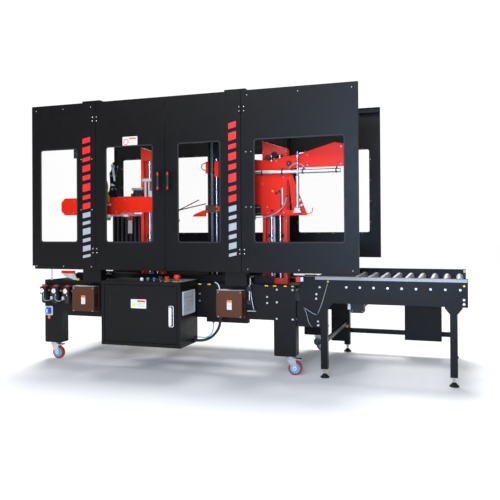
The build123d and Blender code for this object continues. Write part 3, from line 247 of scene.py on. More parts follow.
def vinyl(name, slot, colour, roughness=0.42):
    """Printed vinyl film on the paint."""
    g = Graph(name, slot)
    print_tone = g.noise(55.0, 4.0)
    fine = g.noise(900.0, 2.0)
    g.finish(Base_Color=g.tint(print_tone, scaled(colour, 0.92), scaled(colour, 1.06)),
             Roughness=g.between(print_tone, roughness - 0.05, roughness + 0.06),
             Normal=g.bump(fine, 0.05, 0.0002))
    return g.material


BLACK = powder_coat("black_powder_coat", "black_paint", (0.0052, 0.0048, 0.0050), (0.040, 0.041, 0.047), 0.40)
RED = powder_coat("red_powder_coat", "red_paint", (0.98, 0.022, 0.003), (0.95, 0.14, 0.07), 0.36, 0.04)
BRONZE = powder_coat("bronze_powder_coat", "bronze_paint", (0.105, 0.036, 0.016), (0.24, 0.12, 0.07), 0.40)
GREY_PAINT = powder_coat("light_grey_paint", "grille", (0.60, 0.60, 0.58), (0.72, 0.72, 0.70), 0.42, 0.06)
PANE = clear_pane("clear_polycarbonate", "clear_pane")
CHROME = metal("polished_chrome", "chrome", (0.78, 0.78, 0.80), 0.12, (1.0, 1.0, 1.0))
STEEL = metal("plated_steel", "steel", (0.56, 0.57, 0.59), 0.30, (0.15, 1.0, 1.0))
SHAFT = metal("ground_shaft", "steel", (0.66, 0.67, 0.69), 0.18, (1.0, 1.0, 6.0))
ZINC = metal("zinc_plate", "zinc", (0.60, 0.61, 0.63), 0.34, (1.0, 0.2, 1.0))
ROLLER_ZINC = metal("roller_zinc", "zinc", (0.66, 0.67, 0.69), 0.36, (1.0, 0.05, 1.0))
ALUMINIUM = metal("anodised_aluminium", "steel", (0.72, 0.73, 0.75), 0.38, (0.1, 1.0, 1.0))
BRASS = metal("brass", "steel", (0.72, 0.46, 0.20), 0.28, (1.0, 1.0, 1.0))
BLACK_PLASTIC = moulded("black_moulding", "black_plastic", (0.013, 0.013, 0.014), 0.46, 0.2)
SEAL = moulded("black_rubber_seal", "black_plastic", (0.009, 0.009, 0.009), 0.62, 0.25)
PALE_PLASTIC = moulded("pale_grey_moulding", "grille", (0.62, 0.63, 0.61), 0.48)
WHITE_PLASTIC = moulded("white_moulding", "grille", (0.82, 0.83, 0.84), 0.35)
GREEN_PLASTIC = moulded("green_moulding", "green_plastic", (0.015, 0.30, 0.16), 0.28)
SLATE_PLASTIC = moulded("slate_wear_strip", "grille", (0.38, 0.38, 0.42), 0.42)
BLUE_PLASTIC = moulded("blue_moulding", "blue_plastic", (0.015, 0.12, 0.50), 0.30)
HUB_BLUE = moulded("pale_blue_moulding", "blue_plastic", (0.10, 0.46, 0.66), 0.34)
RED_PLASTIC = moulded("red_moulding", "red_plastic", (0.82, 0.020, 0.010), 0.28)
YELLOW_PLASTIC = moulded("yellow_moulding", "tape", (0.85, 0.62, 0.01), 0.36)
ORANGE_PLASTIC = moulded("orange_moulding", "tape", (0.90, 0.20, 0.01), 0.36)
CONDUIT = moulded("conduit_polyamide", "conduit", (0.012, 0.012, 0.013), 0.42)
AIR_TUBE = moulded("air_tube_polyurethane", "air_tube", (0.22, 0.46, 0.78), 0.20)
SMOKE_TUBE = moulded("grey_tube_polyurethane", "air_tube", (0.40, 0.43, 0.46), 0.24)
BELT = belt_rubber("grip_belt_rubber", "black_plastic")
TYRE = tyre("polyurethane_tyre", "red_tyre")
WHITE_VINYL = vinyl("white_vinyl", "grille", (0.80, 0.80, 0.79))
RED_VINYL = vinyl("red_vinyl", "red_plastic", (0.86, 0.018, 0.016))
YELLOW_VINYL = vinyl("yellow_vinyl", "tape", (0.88, 0.72, 0.01))
ORANGE_VINYL = vinyl("orange_vinyl", "tape", (0.92, 0.22, 0.02))
GREY_VINYL = vinyl("grey_vinyl", "grille", (0.42, 0.43, 0.45))
reel = Span("upper_tape_reel")
TAPE = wound_tape("wound_tape", "tape", at(reel.x, reel.y, reel.z))

NODE_MATERIAL = {"black_paint": BLACK, "red_paint": RED, "bronze_paint": BRONZE, "clear_pane": PANE,
                 "chrome": CHROME, "grille": PALE_PLASTIC, "black_plastic": BLACK_PLASTIC,
                 "green_plastic": GREEN_PLASTIC, "blue_plastic": BLUE_PLASTIC, "red_plastic": RED_PLASTIC,
                 "steel": STEEL, "tape": TAPE, "zinc": ZINC, "red_tyre": TYRE, "conduit": CONDUIT,
                 "air_tube": AIR_TUBE}


def paint_cad_nodes():
    """Gives every CAD node the finish of its slot."""
    for part in frame["record"]["subparts"]:
        name = part["node"]
        finish = ROLLER_ZINC if name.startswith("conveyor_roller") else NODE_MATERIAL[part["material_slot"]]
        for slot in nodes[name].material_slots:
            slot.material = finish


# ------------------------------------------------------------------ shapes

def rounded(x0, x1, z0, z1, radius, steps=5):
    """Outline of a rectangle with round corners."""
    points = []
    corners = ((x1 - radius, z1 - radius, 0), (x0 + radius, z1 - radius, 1),
               (x0 + radius, z0 + radius, 2), (x1 - radius, z0 + radius, 3))
    for cx, cz, quarter in corners:
        for step in range(steps + 1):
            angle = (quarter + step / steps) * pi / 2
            points.append((cx + radius * cos(angle), cz + radius * sin(angle)))
    return points


def smooth_path(points, steps=8):
    """Catmull-Rom curve through the points."""
    rows = [Vector(p) for p in points]
    rows = [2 * rows[0] - rows[1]] + rows + [2 * rows[-1] - rows[-2]]
    path = []
    for a, b, c, d in zip(rows, rows[1:], rows[2:], rows[3:]):
        for step in range(steps):
            t = step / steps
            path.append(0.5 * (2 * b + (c - a) * t + (2 * a - 5 * b + 4 * c - d) * t * t
                               + (3 * b - a - 3 * c + d) * t ** 3))
    return path + [rows[-2]]


WAITING = []
ACROSS = {"X": lambda a, b, h: (h, a, b), "Y": lambda a, b, h: (a, h, b), "Z": lambda a, b, h: (a, b, h)}


class Piece:
    """Solids gathered in machine millimetres that become one object riding on one body.

    A piece waits until the function that started it ends, then make_waiting() turns it into its object.
    """

    def __init__(self, name, material, bevel=0.6, body="machine"):
        self.name = name
        self.material = material
        self.bevel = bevel
        self.body = body
        self.mesh = bmesh.new()
        WAITING.append(self)

    def loft(self, rings, closed=False):
        """Skin over rings of points; a closed one joins its last ring to its first."""
        made = [[self.mesh.verts.new(p) for p in ring] for ring in rings]
        count = len(made[0])
        pairs = list(zip(made, made[1:])) + ([(made[-1], made[0])] if closed else [])
        for first, second in pairs:
            for i in range(count):
                j = (i + 1) % count
                self.mesh.faces.new((first[i], first[j], second[j], second[i]))
        if not closed:
            self.mesh.faces.new(made[0][::-1])
            self.mesh.faces.new(made[-1])
        return self

    def box(self, x0, x1, y0, y1, z0, z1):
        ring = [(x0, y0), (x1, y0), (x1, y1), (x0, y1)]
        return self.loft([[(a, b, height) for a, b in ring] for height in (z0, z1)])

    def plate(self, axis, outline, start, end):
        """Flat plate with an outline in the two other axes, in order, between two places on its axis."""
        return self.loft([[ACROSS[axis](a, b, height) for a, b in outline] for height in (start, end)])

    def frame(self, axis, outer, inner, start, end):
        """Ring between two outlines that have the same number of points."""
        rings = [(outer, start), (outer, end), (inner, end), (inner, start)]
        return self.loft([[ACROSS[axis](a, b, height) for a, b in outline]
                          for outline, height in rings], True)

    def turned(self, start, along, profile, sides=28, closed=False):
        """Round shape on an axis: the profile lists radius and distance from start."""
        axis = Vector(along).normalized()
        side = axis.orthogonal().normalized()
        up = axis.cross(side)
        rings = []
        for radius, height in profile:
            centre = Vector(start) + axis * height
            rings.append([centre + (side * cos(a) + up * sin(a)) * max(radius, 0.01)
                          for a in (2 * pi * i / sides for i in range(sides))])
        return self.loft(rings, closed)

    def ring(self, start, along, inner, outer, tall, sides):
        """Square-cut ring standing tall from start."""
        return self.turned(start, along, [(inner, 0), (outer, 0), (outer, tall), (inner, tall)], sides, True)

    def bar(self, start, end, radius, sides=20):
        length = (Vector(end) - Vector(start)).length
        return self.turned(start, Vector(end) - Vector(start), [(radius, 0.0), (radius, length)], sides)

    def sleeve(self, path, radii, side, sides):
        """Round skin along a path, with a radius for each of its points; side is where a ring starts."""
        rings = []
        for index, (point, radius) in enumerate(zip(path, radii)):
            ahead = (path[min(index + 1, len(path) - 1)] - path[max(index - 1, 0)]).normalized()
            side = (side - ahead * side.dot(ahead)).normalized()
            up = ahead.cross(side)
            rings.append([point + (side * cos(a) + up * sin(a)) * radius
                          for a in (2 * pi * i / sides for i in range(sides))])
        return self.loft(rings)

    def wire(self, points, radius, sides=10):
        """Round wire along a smooth curve through the points."""
        path = smooth_path(points)
        return self.sleeve(path, [radius] * len(path), (path[1] - path[0]).orthogonal().normalized(), sides)

    def hex_bolt(self, place, out, size=7.0):
        """Hexagon head on a washer, standing along out."""
        head = size * 0.62
        self.turned(place, out, [(size * 1.18, -0.2), (size * 1.18, 1.0)], 20)
        self.turned(place, out, [(size, 0.9), (size, head), (size * 0.86, head + 0.9)], 6)
        return self

    def cap_screw(self, place, out, size=5.0):
        """Socket cap screw with its recess."""
        tall = size * 0.9
        profile = [(size, -0.2), (size, tall - 0.6), (size * 0.86, tall), (size * 0.5, tall),
                   (size * 0.45, tall * 0.45)]
        return self.turned(place, out, profile, 18)

    def dome_screw(self, place, out, size=5.0):
        """Low button head."""
        profile = [(size, -0.2), (size, 0.5), (size * 0.82, size * 0.34), (size * 0.5, size * 0.46),
                   (size * 0.34, size * 0.46), (size * 0.3, size * 0.2)]
        return self.turned(place, out, profile, 18)

    def make(self, shade=35.0):
        """Turn the solids into one object; corners sharper than shade degrees are bevelled."""
        WAITING.remove(self)
        bmesh.ops.recalc_face_normals(self.mesh, faces=self.mesh.faces)
        self.mesh.transform(TO_ROW)
        data = bpy.data.meshes.new(self.name)
        self.mesh.to_mesh(data)
        self.mesh.free()
        data.shade_smooth()
        data.set_sharp_from_angle(angle=radians(shade))
        data.materials.append(self.material)
        made = bpy.data.objects.new(self.name, data)
        bpy.context.scene.collection.objects.link(made)
        if self.bevel:
            edges = made.modifiers.new("edges", "BEVEL")
            edges.width = self.bevel * MM
            edges.segments = 2
            edges.limit_method = "ANGLE"
            edges.angle_limit = radians(shade)
            edges.harden_normals = True
        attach(made, self.body)
        return made


def make_waiting():
    for piece in list(WAITING):
        piece.make()


# ------------------------------------------------------------------ camera and cords

CAMERA_PLACE = (3208.9, -4124.7, 1055.45)
CAMERA_YAW = 0.3225
CAMERA_PITCH = 0.0061
CAMERA_ROLL = -0.0062
CAMERA_LENS = 44.52
CAMERA_SHIFT = (-0.0004, -0.0526)


def camera():
    """Eye level view from the right of the front."""
    data = bpy.data.cameras.new("camera")
    data.lens = CAMERA_LENS
    data.sensor_width = 36.0
    data.shift_x, data.shift_y = CAMERA_SHIFT
    eye = bpy.data.objects.new("camera", data)
    ahead = Vector((-sin(CAMERA_YAW) * cos(CAMERA_PITCH),
                    cos(CAMERA_YAW) * cos(CAMERA_PITCH), sin(CAMERA_PITCH)))
    right = Vector((cos(CAMERA_YAW), sin(CAMERA_YAW), 0.0))
    up = right.cross(ahead)
    turned_right = right * cos(CAMERA_ROLL) + up * sin(CAMERA_ROLL)
    turned_up = up * cos(CAMERA_ROLL) - right * sin(CAMERA_ROLL)
    turn = Matrix((turned_right, turned_up, -ahead)).transposed()
    eye.matrix_world = Matrix.Translation(at(*CAMERA_PLACE)) @ turn.to_4x4()
    bpy.context.scene.collection.objects.link(eye)
    bpy.context.scene.camera = eye


CONDUIT_R = 10
HOSE_R = 4
CONDUIT_ROUTE = [(1378, 64, 228), (1426, 64, 228), (1476, 68, 241), (1518, 74, 268),
                 (1550, 80, 308), (1568, 84, 356), (1568, 84, 398)]
HOSE_ROUTE = [(1376, 104, 246), (1406, 104, 246), (1438, 112, 242), (1466, 126, 254),
              (1484, 140, 280), (1490, 146, 314), (1490, 146, 350)]


def spline(name, route):
    """One smooth curve whose control points are the route's."""
    data = bpy.data.curves.new(name, "CURVE")
    data.dimensions = "3D"
    data.resolution_u = 24
    line = data.splines.new("NURBS")
    line.points.add(len(route) - 1)
    for point, place in zip(line.points, route):
        point.co = (*at(*place), 1.0)
    line.order_u = 3
    line.use_endpoint_u = True
    made = bpy.data.objects.new(name, data)
    bpy.context.scene.collection.objects.link(made)
    return made


def line_points(curve):
    """Points along a curve with no thickness, in machine millimetres."""
    depsgraph = bpy.context.evaluated_depsgraph_get()
    data = bpy.data.meshes.new_from_object(curve.evaluated_get(depsgraph))
    back = TO_ROW.inverted()
    points = [back @ v.co for v in data.vertices]
    bpy.data.meshes.remove(data)
    return points


def path_length(points):
    return sum((b - a).length for a, b in zip(points, points[1:]))


def evenly(points, pitch):
    """The path divided into steps of about one pitch."""
    total = path_length(points)
    count = max(2, round(total / pitch))
    wanted = [total * i / count for i in range(count + 1)]
    made, travelled, index = [], 0.0, 0
    for target in wanted:
        while index < len(points) - 2 and travelled + (points[index + 1] - points[index]).length < target:
            travelled += (points[index + 1] - points[index]).length
            index += 1
        step = points[index + 1] - points[index]
        made.append(points[index] + step * ((target - travelled) / step.length))
    return made


def corrugated_conduit():
    """Corrugated protective conduit from the cabinet's side to the right drive cover."""
    rib_pitch = 4.0
    steps_in_rib = 4
    guide = spline("conduit_line", CONDUIT_ROUTE)
    path = evenly(line_points(guide), rib_pitch / steps_in_rib)
    bpy.data.objects.remove(guide)
    rib_depth = 1.3
    radii = [CONDUIT_R - (rib_depth if index % steps_in_rib >= steps_in_rib / 2 else 0)
             for index in range(len(path))]
    piece = Piece("control_conduit_corrugated", CONDUIT, 0)
    made = piece.sleeve(path, radii, Vector((0, 1, 0)), 24).make(60)
    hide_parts("control_conduit")


def tube_cord(name, route, radius, material, body="machine", replaced=None):
    """Smooth round tube that runs freely between two fittings."""
    made = spline(name, route)
    length = path_length(line_points(made)) * MM
    made.data.bevel_depth = radius * MM
    made.data.bevel_resolution = 5
    made.data.use_fill_caps = True
    made.data.materials.append(material)
    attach(made, body)
    if replaced:
        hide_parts(replaced)


# ------------------------------------------------------------------ studio

def area_light(name, place, target, size, power, colour):
    data = bpy.data.lights.new(name, "AREA")
    data.shape = "RECTANGLE"
    data.size, data.size_y = size
    data.energy = power
    data.color = colour
    lamp = bpy.data.objects.new(name, data)
    lamp.location = place
    lamp.rotation_mode = "QUATERNION"
    lamp.rotation_quaternion = (Vector(target) - Vector(place)).to_track_quat("-Z", "Y")
    bpy.context.scene.collection.objects.link(lamp)


def studio():
    """White surroundings, a pale floor, a soft sun from behind, a front key, a cool light and a rear fill."""
    scene = bpy.context.scene
    scene.view_settings.view_transform = "Standard"
    world = bpy.data.worlds.new("studio")
    scene.world = world
    world.use_nodes = True
    tree = world.node_tree
    tree.nodes.clear()
    ray = tree.nodes.new("ShaderNodeLightPath")
    seen = tree.nodes.new("ShaderNodeBackground")
    seen.inputs["Color"].default_value = (1.0, 1.0, 1.0, 1.0)
    seen.inputs["Strength"].default_value = 1.05
    dim = tree.nodes.new("ShaderNodeBackground")
    dim.inputs["Color"].default_value = (0.97, 0.98, 1.0, 1.0)
    dim.inputs["Strength"].default_value = 0.13
    mix = tree.nodes.new("ShaderNodeMixShader")
    out = tree.nodes.new("ShaderNodeOutputWorld")
    tree.links.new(ray.outputs["Is Camera Ray"], mix.inputs["Fac"])
    tree.links.new(dim.outputs[0], mix.inputs[1])
    tree.links.new(seen.outputs[0], mix.inputs[2])
    tree.links.new(mix.outputs[0], out.inputs["Surface"])
    bpy.ops.mesh.primitive_plane_add(size=60.0, location=(0.0, 0.0, 0.0))
    floor = bpy.context.object
    floor.name = "studio_floor"
    paper = bpy.data.materials.new("studio_paper")
    paper.use_nodes = True
    shader = paper.node_tree.nodes["Principled BSDF"]
    shader.inputs["Base Color"].default_value = (0.82, 0.82, 0.82, 1.0)
    shader.inputs["Roughness"].default_value = 0.9
    shader.inputs["Specular IOR Level"].default_value = 0.0
    shader.inputs["Emission Color"].default_value = (1.0, 1.0, 1.0, 1.0)
    shader.inputs["Emission Strength"].default_value = 0.10
    floor.data.materials.append(paper)
    sun = bpy.data.lights.new("high_sun", "SUN")
    sun.energy = 3.3
    sun.angle = 0.5
    sun_object = bpy.data.objects.new("high_sun", sun)
    sun_object.rotation_mode = "QUATERNION"
    sun_object.rotation_quaternion = Vector((0.12, -0.42, -1.0)).to_track_quat("-Z", "Y")
    scene.collection.objects.link(sun_object)
    area_light("front_key", (-0.6, -5.2, 4.6), (0.0, 0.0, 1.1), (5.0, 1.6), 150.0, (1.0, 0.95, 0.90))
    area_light("right_cool", (1.0, -5.6, 1.7), (1.0, 0.0, 1.2), (1.3, 1.7), 200.0, (0.46, 0.66, 1.0))
    area_light("rear_fill", (-1.0, 5.5, 3.6), (0.0, 0.4, 1.0), (5.0, 2.0), 110.0, (1.0, 0.98, 0.95))


# ------------------------------------------------------------------ guard

FRONT = (0, -1, 0)
REAR = (0, 1, 0)
UP = (0, 0, 1)
RIGHT = (1, 0, 0)

front_panels = Span("front_guard_panels")
rear_panels = Span("rear_guard_panels")
left_door = Span("front_left_door")
right_door = Span("front_right_door")
left_pane = Span("front_left_pane")
right_pane = Span("front_right_pane")
PANE_LAP = 15
WINDOW_LOW = left_pane.z0 + PANE_LAP
WINDOW_HIGH = left_pane.z1 - PANE_LAP
WINDOW_RADIUS = 18
LEFT_WINDOW = (86, 416)
LEFT_DOOR_WINDOW = (left_pane.x0 + PANE_LAP, left_pane.x1 - PANE_LAP)
RIGHT_DOOR_WINDOW = (right_pane.x0 + PANE_LAP, right_pane.x1 - PANE_LAP)
RIGHT_WINDOW = (1864, 2496)
LEFT_HINGE_X = left_door.x0 - 2
RIGHT_HINGE_X = right_door.x1 + 2
HINGE_HEIGHTS = (885, 1896)
REAR_RAISE = rear_panels.z1 - front_panels.z1


def glazing_seal(name, window, body, face, outward, raise_by=0):
    """Rubber section pressed over the edge of a window cut-out."""
    low, high = WINDOW_LOW + raise_by, WINDOW_HIGH + raise_by
    lip = 7
    overlap = 3
    outer = rounded(window[0] - lip, window[1] + lip, low - lip, high + lip, WINDOW_RADIUS + lip)
    inner = rounded(window[0] + overlap, window[1] - overlap, low + overlap, high - overlap,
            WINDOW_RADIUS - overlap)
    y0, y1 = sorted((face + outward * 1.8, face - outward * 2.4))
    Piece(name, SEAL, 0.7, body).frame("Y", outer, inner, y0, y1)


def pane_screws(name, window, body, face, outward, raise_by=0):
    """Button heads that hold the pane, round the back of the window."""
    low, high = WINDOW_LOW + raise_by, WINDOW_HIGH + raise_by
    piece = Piece(name, STEEL, 0, body)
    inset = 8
    columns = 3 if window[1] - window[0] < 500 else 5
    for row in (low - inset, high + inset):
        for i in range(columns):
            x = window[0] + (window[1] - window[0]) * (i + 0.5) / columns
            piece.dome_screw((x, face, row), (0, outward, 0), 4)
    for column in (window[0] - inset, window[1] + inset):
        for i in range(4):
            z = low + (high - low) * (i + 0.5) / 4
            piece.dome_screw((column, face, z), (0, outward, 0), 4)


def guard_windows():
    """Seals and pane screws of the front and rear windows."""
    front_y, pane_back = 0, 8
    rear_y = rear_panels.y1
    table = (("left", LEFT_WINDOW, "machine"), ("left_door", LEFT_DOOR_WINDOW, "left_door"),
            ("right_door", RIGHT_DOOR_WINDOW, "right_door"), ("right", RIGHT_WINDOW, "machine"))
    for label, window, body in table:
        glazing_seal("front_seal_" + label, window, body, front_y, -1)
        pane_screws("front_pane_screws_" + label, window, body, pane_back, 1)
        glazing_seal("rear_seal_" + label, window, "machine", rear_y, 1, REAR_RAISE)
        pane_screws("rear_pane_screws_" + label, window, "machine", rear_y - pane_back, -1, REAR_RAISE)


def hinge_screws():
    """Four bright screws on each hinge, two on the door's leaf and two on the fixed one."""
    leaf_y = Span("door_hinges").y0 + 8.5
    for hinge_x, inward, body in ((LEFT_HINGE_X, 1, "left_door"), (RIGHT_HINGE_X, -1, "right_door")):
        for index, height in enumerate(HINGE_HEIGHTS):
            for side, rider in ((inward, body), (-inward, "machine")):
                leaf = "moving" if rider == body else "fixed"
                piece = Piece("hinge_screws_%s_%d_%s" % (body, index, leaf), CHROME, 0, rider)
                for dz in (-15, 15):
                    piece.dome_screw((hinge_x + side * 17, leaf_y, height + dz), FRONT, 5.2)


def door_trim():
    """Seal on the closing edges, catches and inner stiffeners of the doors."""
    for label, door, edge, body in (("left", left_door, left_door.x1, "left_door"),
            ("right", right_door, right_door.x0, "right_door")):
        inward = -1 if label == "left" else 1
        strip = sorted((edge + inward * 1, edge + inward * 9))
        Piece("closing_seal_" + label, SEAL, 0.8, body).box(*strip, 28.2, 33.5, door.z0 + 20, door.z1 - 20)
        catch = sorted((edge + inward * 22, edge + inward * 62))
        Piece("door_catch_" + label, BLACK_PLASTIC, 1.2, body).box(*catch, 3.2, 22, door.z1 - 70,
                door.z1 - 46)
        stiffener = Piece("door_stiffener_" + label, BLACK, 0.8, body)
        for z in (door.z0 + 92, door.z1 - 208):
            stiffener.box(door.x0 + 40, door.x1 - 40, 3.2, 18, z, z + 30)


def handle_caps():
    """Red caps over the screws at both ends of the bridge handles, and the moulded collars of their feet."""
    for label in ("left", "right"):
        grip = Span("front_%s_handle" % label)
        body = label + "_door"
        caps = Piece("handle_caps_" + label, RED_PLASTIC, 1.2, body)
        collars = Piece("handle_collars_" + label, BLACK_PLASTIC, 0.8, body)
        for z in (grip.z0 + 13, grip.z1 - 13):
            caps.plate("Y", rounded(grip.x - 6.6, grip.x + 6.6, z - 11, z + 11, 6), grip.y0 - 0.3,
                    grip.y0 + 7)
            collars.turned((grip.x, -0.1, z), FRONT, [(15, 0), (15, 2), (11.5, 7), (10.2, 12)], 28)


def side_stripe(name, x0, x1, low, high, grey_share):
    """Plain slanted dashes up the guard, light grey below and red above."""
    split = low + (high - low) * grey_share
    slant = 14
    grey_dashes = (40, 64, 48, 72, 44, 60)
    red_dashes = (58, 46, 70, 50, 62, 44, 66, 52)
    gap = 15
    for label, material, dashes, start, end in (("grey", GREY_VINYL, grey_dashes, low, split - gap),
            ("red", RED_VINYL, red_dashes, split, high)):
        piece = Piece("%s_%s" % (name, label), material, 0)
        scale = (end - start - gap * (len(dashes) - 1)) / sum(dashes)
        z = start
        for dash in dashes:
            top = z + dash * scale
            piece.plate("Y", [(x0, z), (x1, z + slant), (x1, top), (x0, top - slant)], -0.45, 0.1)
            z = top + gap


def stripes():
    side_stripe("left_stripe", 466, 534, 826, 1762, 0.4)
    side_stripe("right_stripe", 1670, 1728, 846, 1812, 0.4)


def plain_sticker(name, body, x, z, wide, tall, y, bar, mark=None):
    """White sticker with a colour bar, grey print lines and a plain coloured mark; no lettering."""
    x0, x1, z0, z1 = x - wide / 2, x + wide / 2, z - tall / 2, z + tall / 2
    Piece(name + "_base", WHITE_VINYL, 0, body).plate("Y", rounded(x0, x1, z0, z1, 4), y - 0.4, y + 0.1)
    split = x0 + wide * (0.42 if mark else 0.08)
    Piece(name + "_bar", bar, 0, body).plate("Y", rounded(split, x1 - wide * 0.06, z1 - tall * 0.3,
            z1 - tall * 0.1, 1.5), y - 0.55, y - 0.35)
    lines = Piece(name + "_lines", GREY_VINYL, 0, body)
    for row in range(3):
        top = z1 - tall * (0.42 + 0.16 * row)
        lines.box(split, x1 - wide * (0.08 + 0.1 * (row % 2)), y - 0.52, y - 0.35, top - tall * 0.05, top)
    if mark:
        material, outline, hole = mark
        shown = Piece(name + "_mark", material, 0, body)
        if hole:
            shown.frame("Y", outline, hole, y - 0.55, y - 0.35)
        else:
            shown.plate("Y", outline, y - 0.55, y - 0.35)


def door_sticker():
    """White sticker with a plain red ring and an orange bar on the left door."""
    x, z = 880, 1708
    ring_x, ring_z = x - 34, z - 2
    outer, inner = ([(ring_x + r * cos(a * pi / 14), ring_z + r * sin(a * pi / 14))
                     for a in range(28)] for r in (23, 17))
    plain_sticker("door_sticker", "left_door", x, z, 125, 74, 0, ORANGE_VINYL, (RED_VINYL, outer, inner))


def post_caps():
    """Moulded caps on the guard posts, and the bolts at their feet."""
    frame_box = Span("guard_frame")
    posts = ((445, 603), (1628, 1789))
    depth = (32, 110)
    for index, (x0, x1) in enumerate(posts):
        for label, y0, y1, top in (("front", *depth, front_panels.z1 + 20),
                ("rear", rear_panels.y1 - depth[1], rear_panels.y1 - depth[0], frame_box.z1)):
            Piece("post_cap_%s_%d" % (label, index), BLACK_PLASTIC, 1.5).box(x0 + 3.5, x1 - 3.5, y0 + 3.5,
                    y1 - 3.5, top - 20, top - 1)
    bolts = Piece("post_base_bolts", STEEL, 0)
    for x0, x1 in posts:
        for x in (x0 + 24, x1 - 24):
            bolts.hex_bolt((x, 148, 648), UP, 8)
            bolts.hex_bolt((x, rear_panels.y1 - 148, 648), UP, 8)


def panel_fixings():
    """Screws through the panels into the rails, near each corner."""
    screws = Piece("panel_fixing_screws", STEEL, 0)
    for x in (452, 548, 1800, 1838):
        for z in (1200, 1590):
            screws.dome_screw((x, 0, z), FRONT, 4.6)
    for x0, x1 in ((40, 540), (1810, front_panels.x1 - 40)):
        for i in range(3):
            x = x0 + (x1 - x0) * i / 2
            for z in (front_panels.z1 - 35, front_panels.z0 + 23):
                screws.dome_screw((x, 0, z), FRONT, 4.6)
                screws.dome_screw((x, rear_panels.y1, z + REAR_RAISE), REAR, 4.6)


def guard_switch():
    """Coded guard switch and actuator inside the left window's upper corner."""
    body = Piece("guard_switch", BLACK_PLASTIC, 1.5)
    body.box(362, 384, 34, 60, 1606, 1694)
    body.turned((373, 47, 1694), UP, [(8, -1), (8, 10), (5, 14)], 18)
    plate = Piece("guard_switch_plate", STEEL)
    plate.box(384, 446, 44, 47, 1618, 1682)
    plate.dome_screw((366, 34, 1626), FRONT, 3.2)
    plate.dome_screw((366, 34, 1676), FRONT, 3.2)
    Piece("guard_switch_lamp", GREEN_PLASTIC, 0.4).box(369, 379, 33.2, 34.4, 1646, 1652)


# ------------------------------------------------------------------ bed, drives and air unit

bed = Span("bed_frame")
legs = Span("bed_legs")
GIRDER_FRONT = legs.y0
covers = Span("drive_covers")
air = Span("air_unit")
isolator = Span("isolator_knob")
cabinet = Span("cabinet_shell")
cabinet_door = Span("cabinet_door")
vent = Span("cabinet_vent")
latch = Span("cabinet_latch")


def drive_cover_trim():
    """Return edges, lids, screws, plain stickers and louvres of the two drive covers."""
    for label, x0, x1 in (("left", covers.x0, covers.x0 + 196), ("right", covers.x1 - 196, covers.x1)):
        y = covers.y0
        rim = Piece("drive_cover_rim_" + label, BRONZE, 0.8)
        outer = rounded(x0 - 2, x1 + 2, covers.z0 + 0.5, covers.z1 + 2, 7)
        inner = rounded(x0 + 3, x1 - 3, covers.z0 + 5.5, covers.z1 - 3, 5)
        rim.frame("Y", outer, inner, GIRDER_FRONT - 16, GIRDER_FRONT - 1)
        Piece("drive_cover_lid_" + label, GREY_PAINT).box(x0 + 1.5, x1 - 1.5, y + 1.5, GIRDER_FRONT - 2,
                covers.z1 - 0.6, covers.z1 + 2.4)
        screws = Piece("drive_cover_screws_" + label, STEEL, 0)
        for x in (x0 + 13, x1 - 13):
            for z in (covers.z0 + 14, covers.z1 - 14):
                screws.dome_screw((x, y, z), FRONT, 4.4)
            screws.hex_bolt((x, (y + GIRDER_FRONT) / 2, covers.z1 + 2.4), UP, 5)
        cx, cz = (x0 + x1) / 2 + 2, (covers.z0 + covers.z1) / 2 - 2
        Piece("drive_sticker_" + label, WHITE_VINYL, 0).plate("Y",
                rounded(cx - 18, cx + 18, cz - 34, cz + 34, 3), y - 0.4, y + 0.1)
        Piece("drive_sticker_bar_" + label, ORANGE_VINYL, 0).plate("Y",
                rounded(cx - 17.5, cx + 17.5, cz + 17, cz + 33.5, 2.5), y - 0.6, y - 0.35)
        lines = Piece("drive_sticker_lines_" + label, GREY_VINYL, 0)
        for row in range(4):
            z = cz + 9 - 10 * row
            lines.box(cx - 13, cx + 13 - 5 * (row % 2), y - 0.55, y - 0.35, z - 2, z)
        side = Piece("drive_cover_louvres_" + label, BLACK, 0.5)
        for row in range(7):
            z = covers.z0 + 48 + 15 * row
            side.plate("Y", [(x1 - 0.4, z), (x1 + 3, z), (x1 + 0.2, z + 7), (x1 - 0.4, z + 7)], y + 16,
                    GIRDER_FRONT - 24)


def isolator_switch():
    """Main isolator: pale housing plate, blue ring plate, white pointer and a hanging orange lock tag."""
    x, z = isolator.x, isolator.z
    y = GIRDER_FRONT
    Piece("isolator_plate", PALE_PLASTIC, 1.2).plate("Y", rounded(x - 35, x + 35, z - 37, z + 37, 6), y - 9,
            y)
    Piece("isolator_surround", BLUE_PLASTIC, 0.8).plate("Y", rounded(x - 25, x + 25, z - 27, z + 27, 4),
            y - 10.6, y - 8.5)
    Piece("isolator_pointer", WHITE_PLASTIC, 0.8, "isolator").plate("Y",
            rounded(x - 5.5, x + 5.5, z - 15, z + 15, 3), isolator.y0 - 1.4, isolator.y0 + 3)
    ticks = Piece("isolator_ticks", WHITE_VINYL, 0)
    for angle in (0, pi / 2):
        cx, cz = x + 22 * sin(angle), z + 22 * cos(angle)
        ticks.box(cx - 1.6, cx + 1.6, y - 10.9, y - 10.4, cz - 1.6, cz + 1.6)
    Piece("isolator_lock_tag", ORANGE_PLASTIC, 1).plate("Y", rounded(x - 10, x + 10, z - 66, z - 36, 5),
            y - 7, y - 0.2)
    screws = Piece("isolator_screws", STEEL, 0)
    for dx in (-30, 30):
        for dz in (-32, 32):
            screws.dome_screw((x + dx, y - 9, z + dz), FRONT, 2.6)


GAUGE_X = (48, 159, 266)


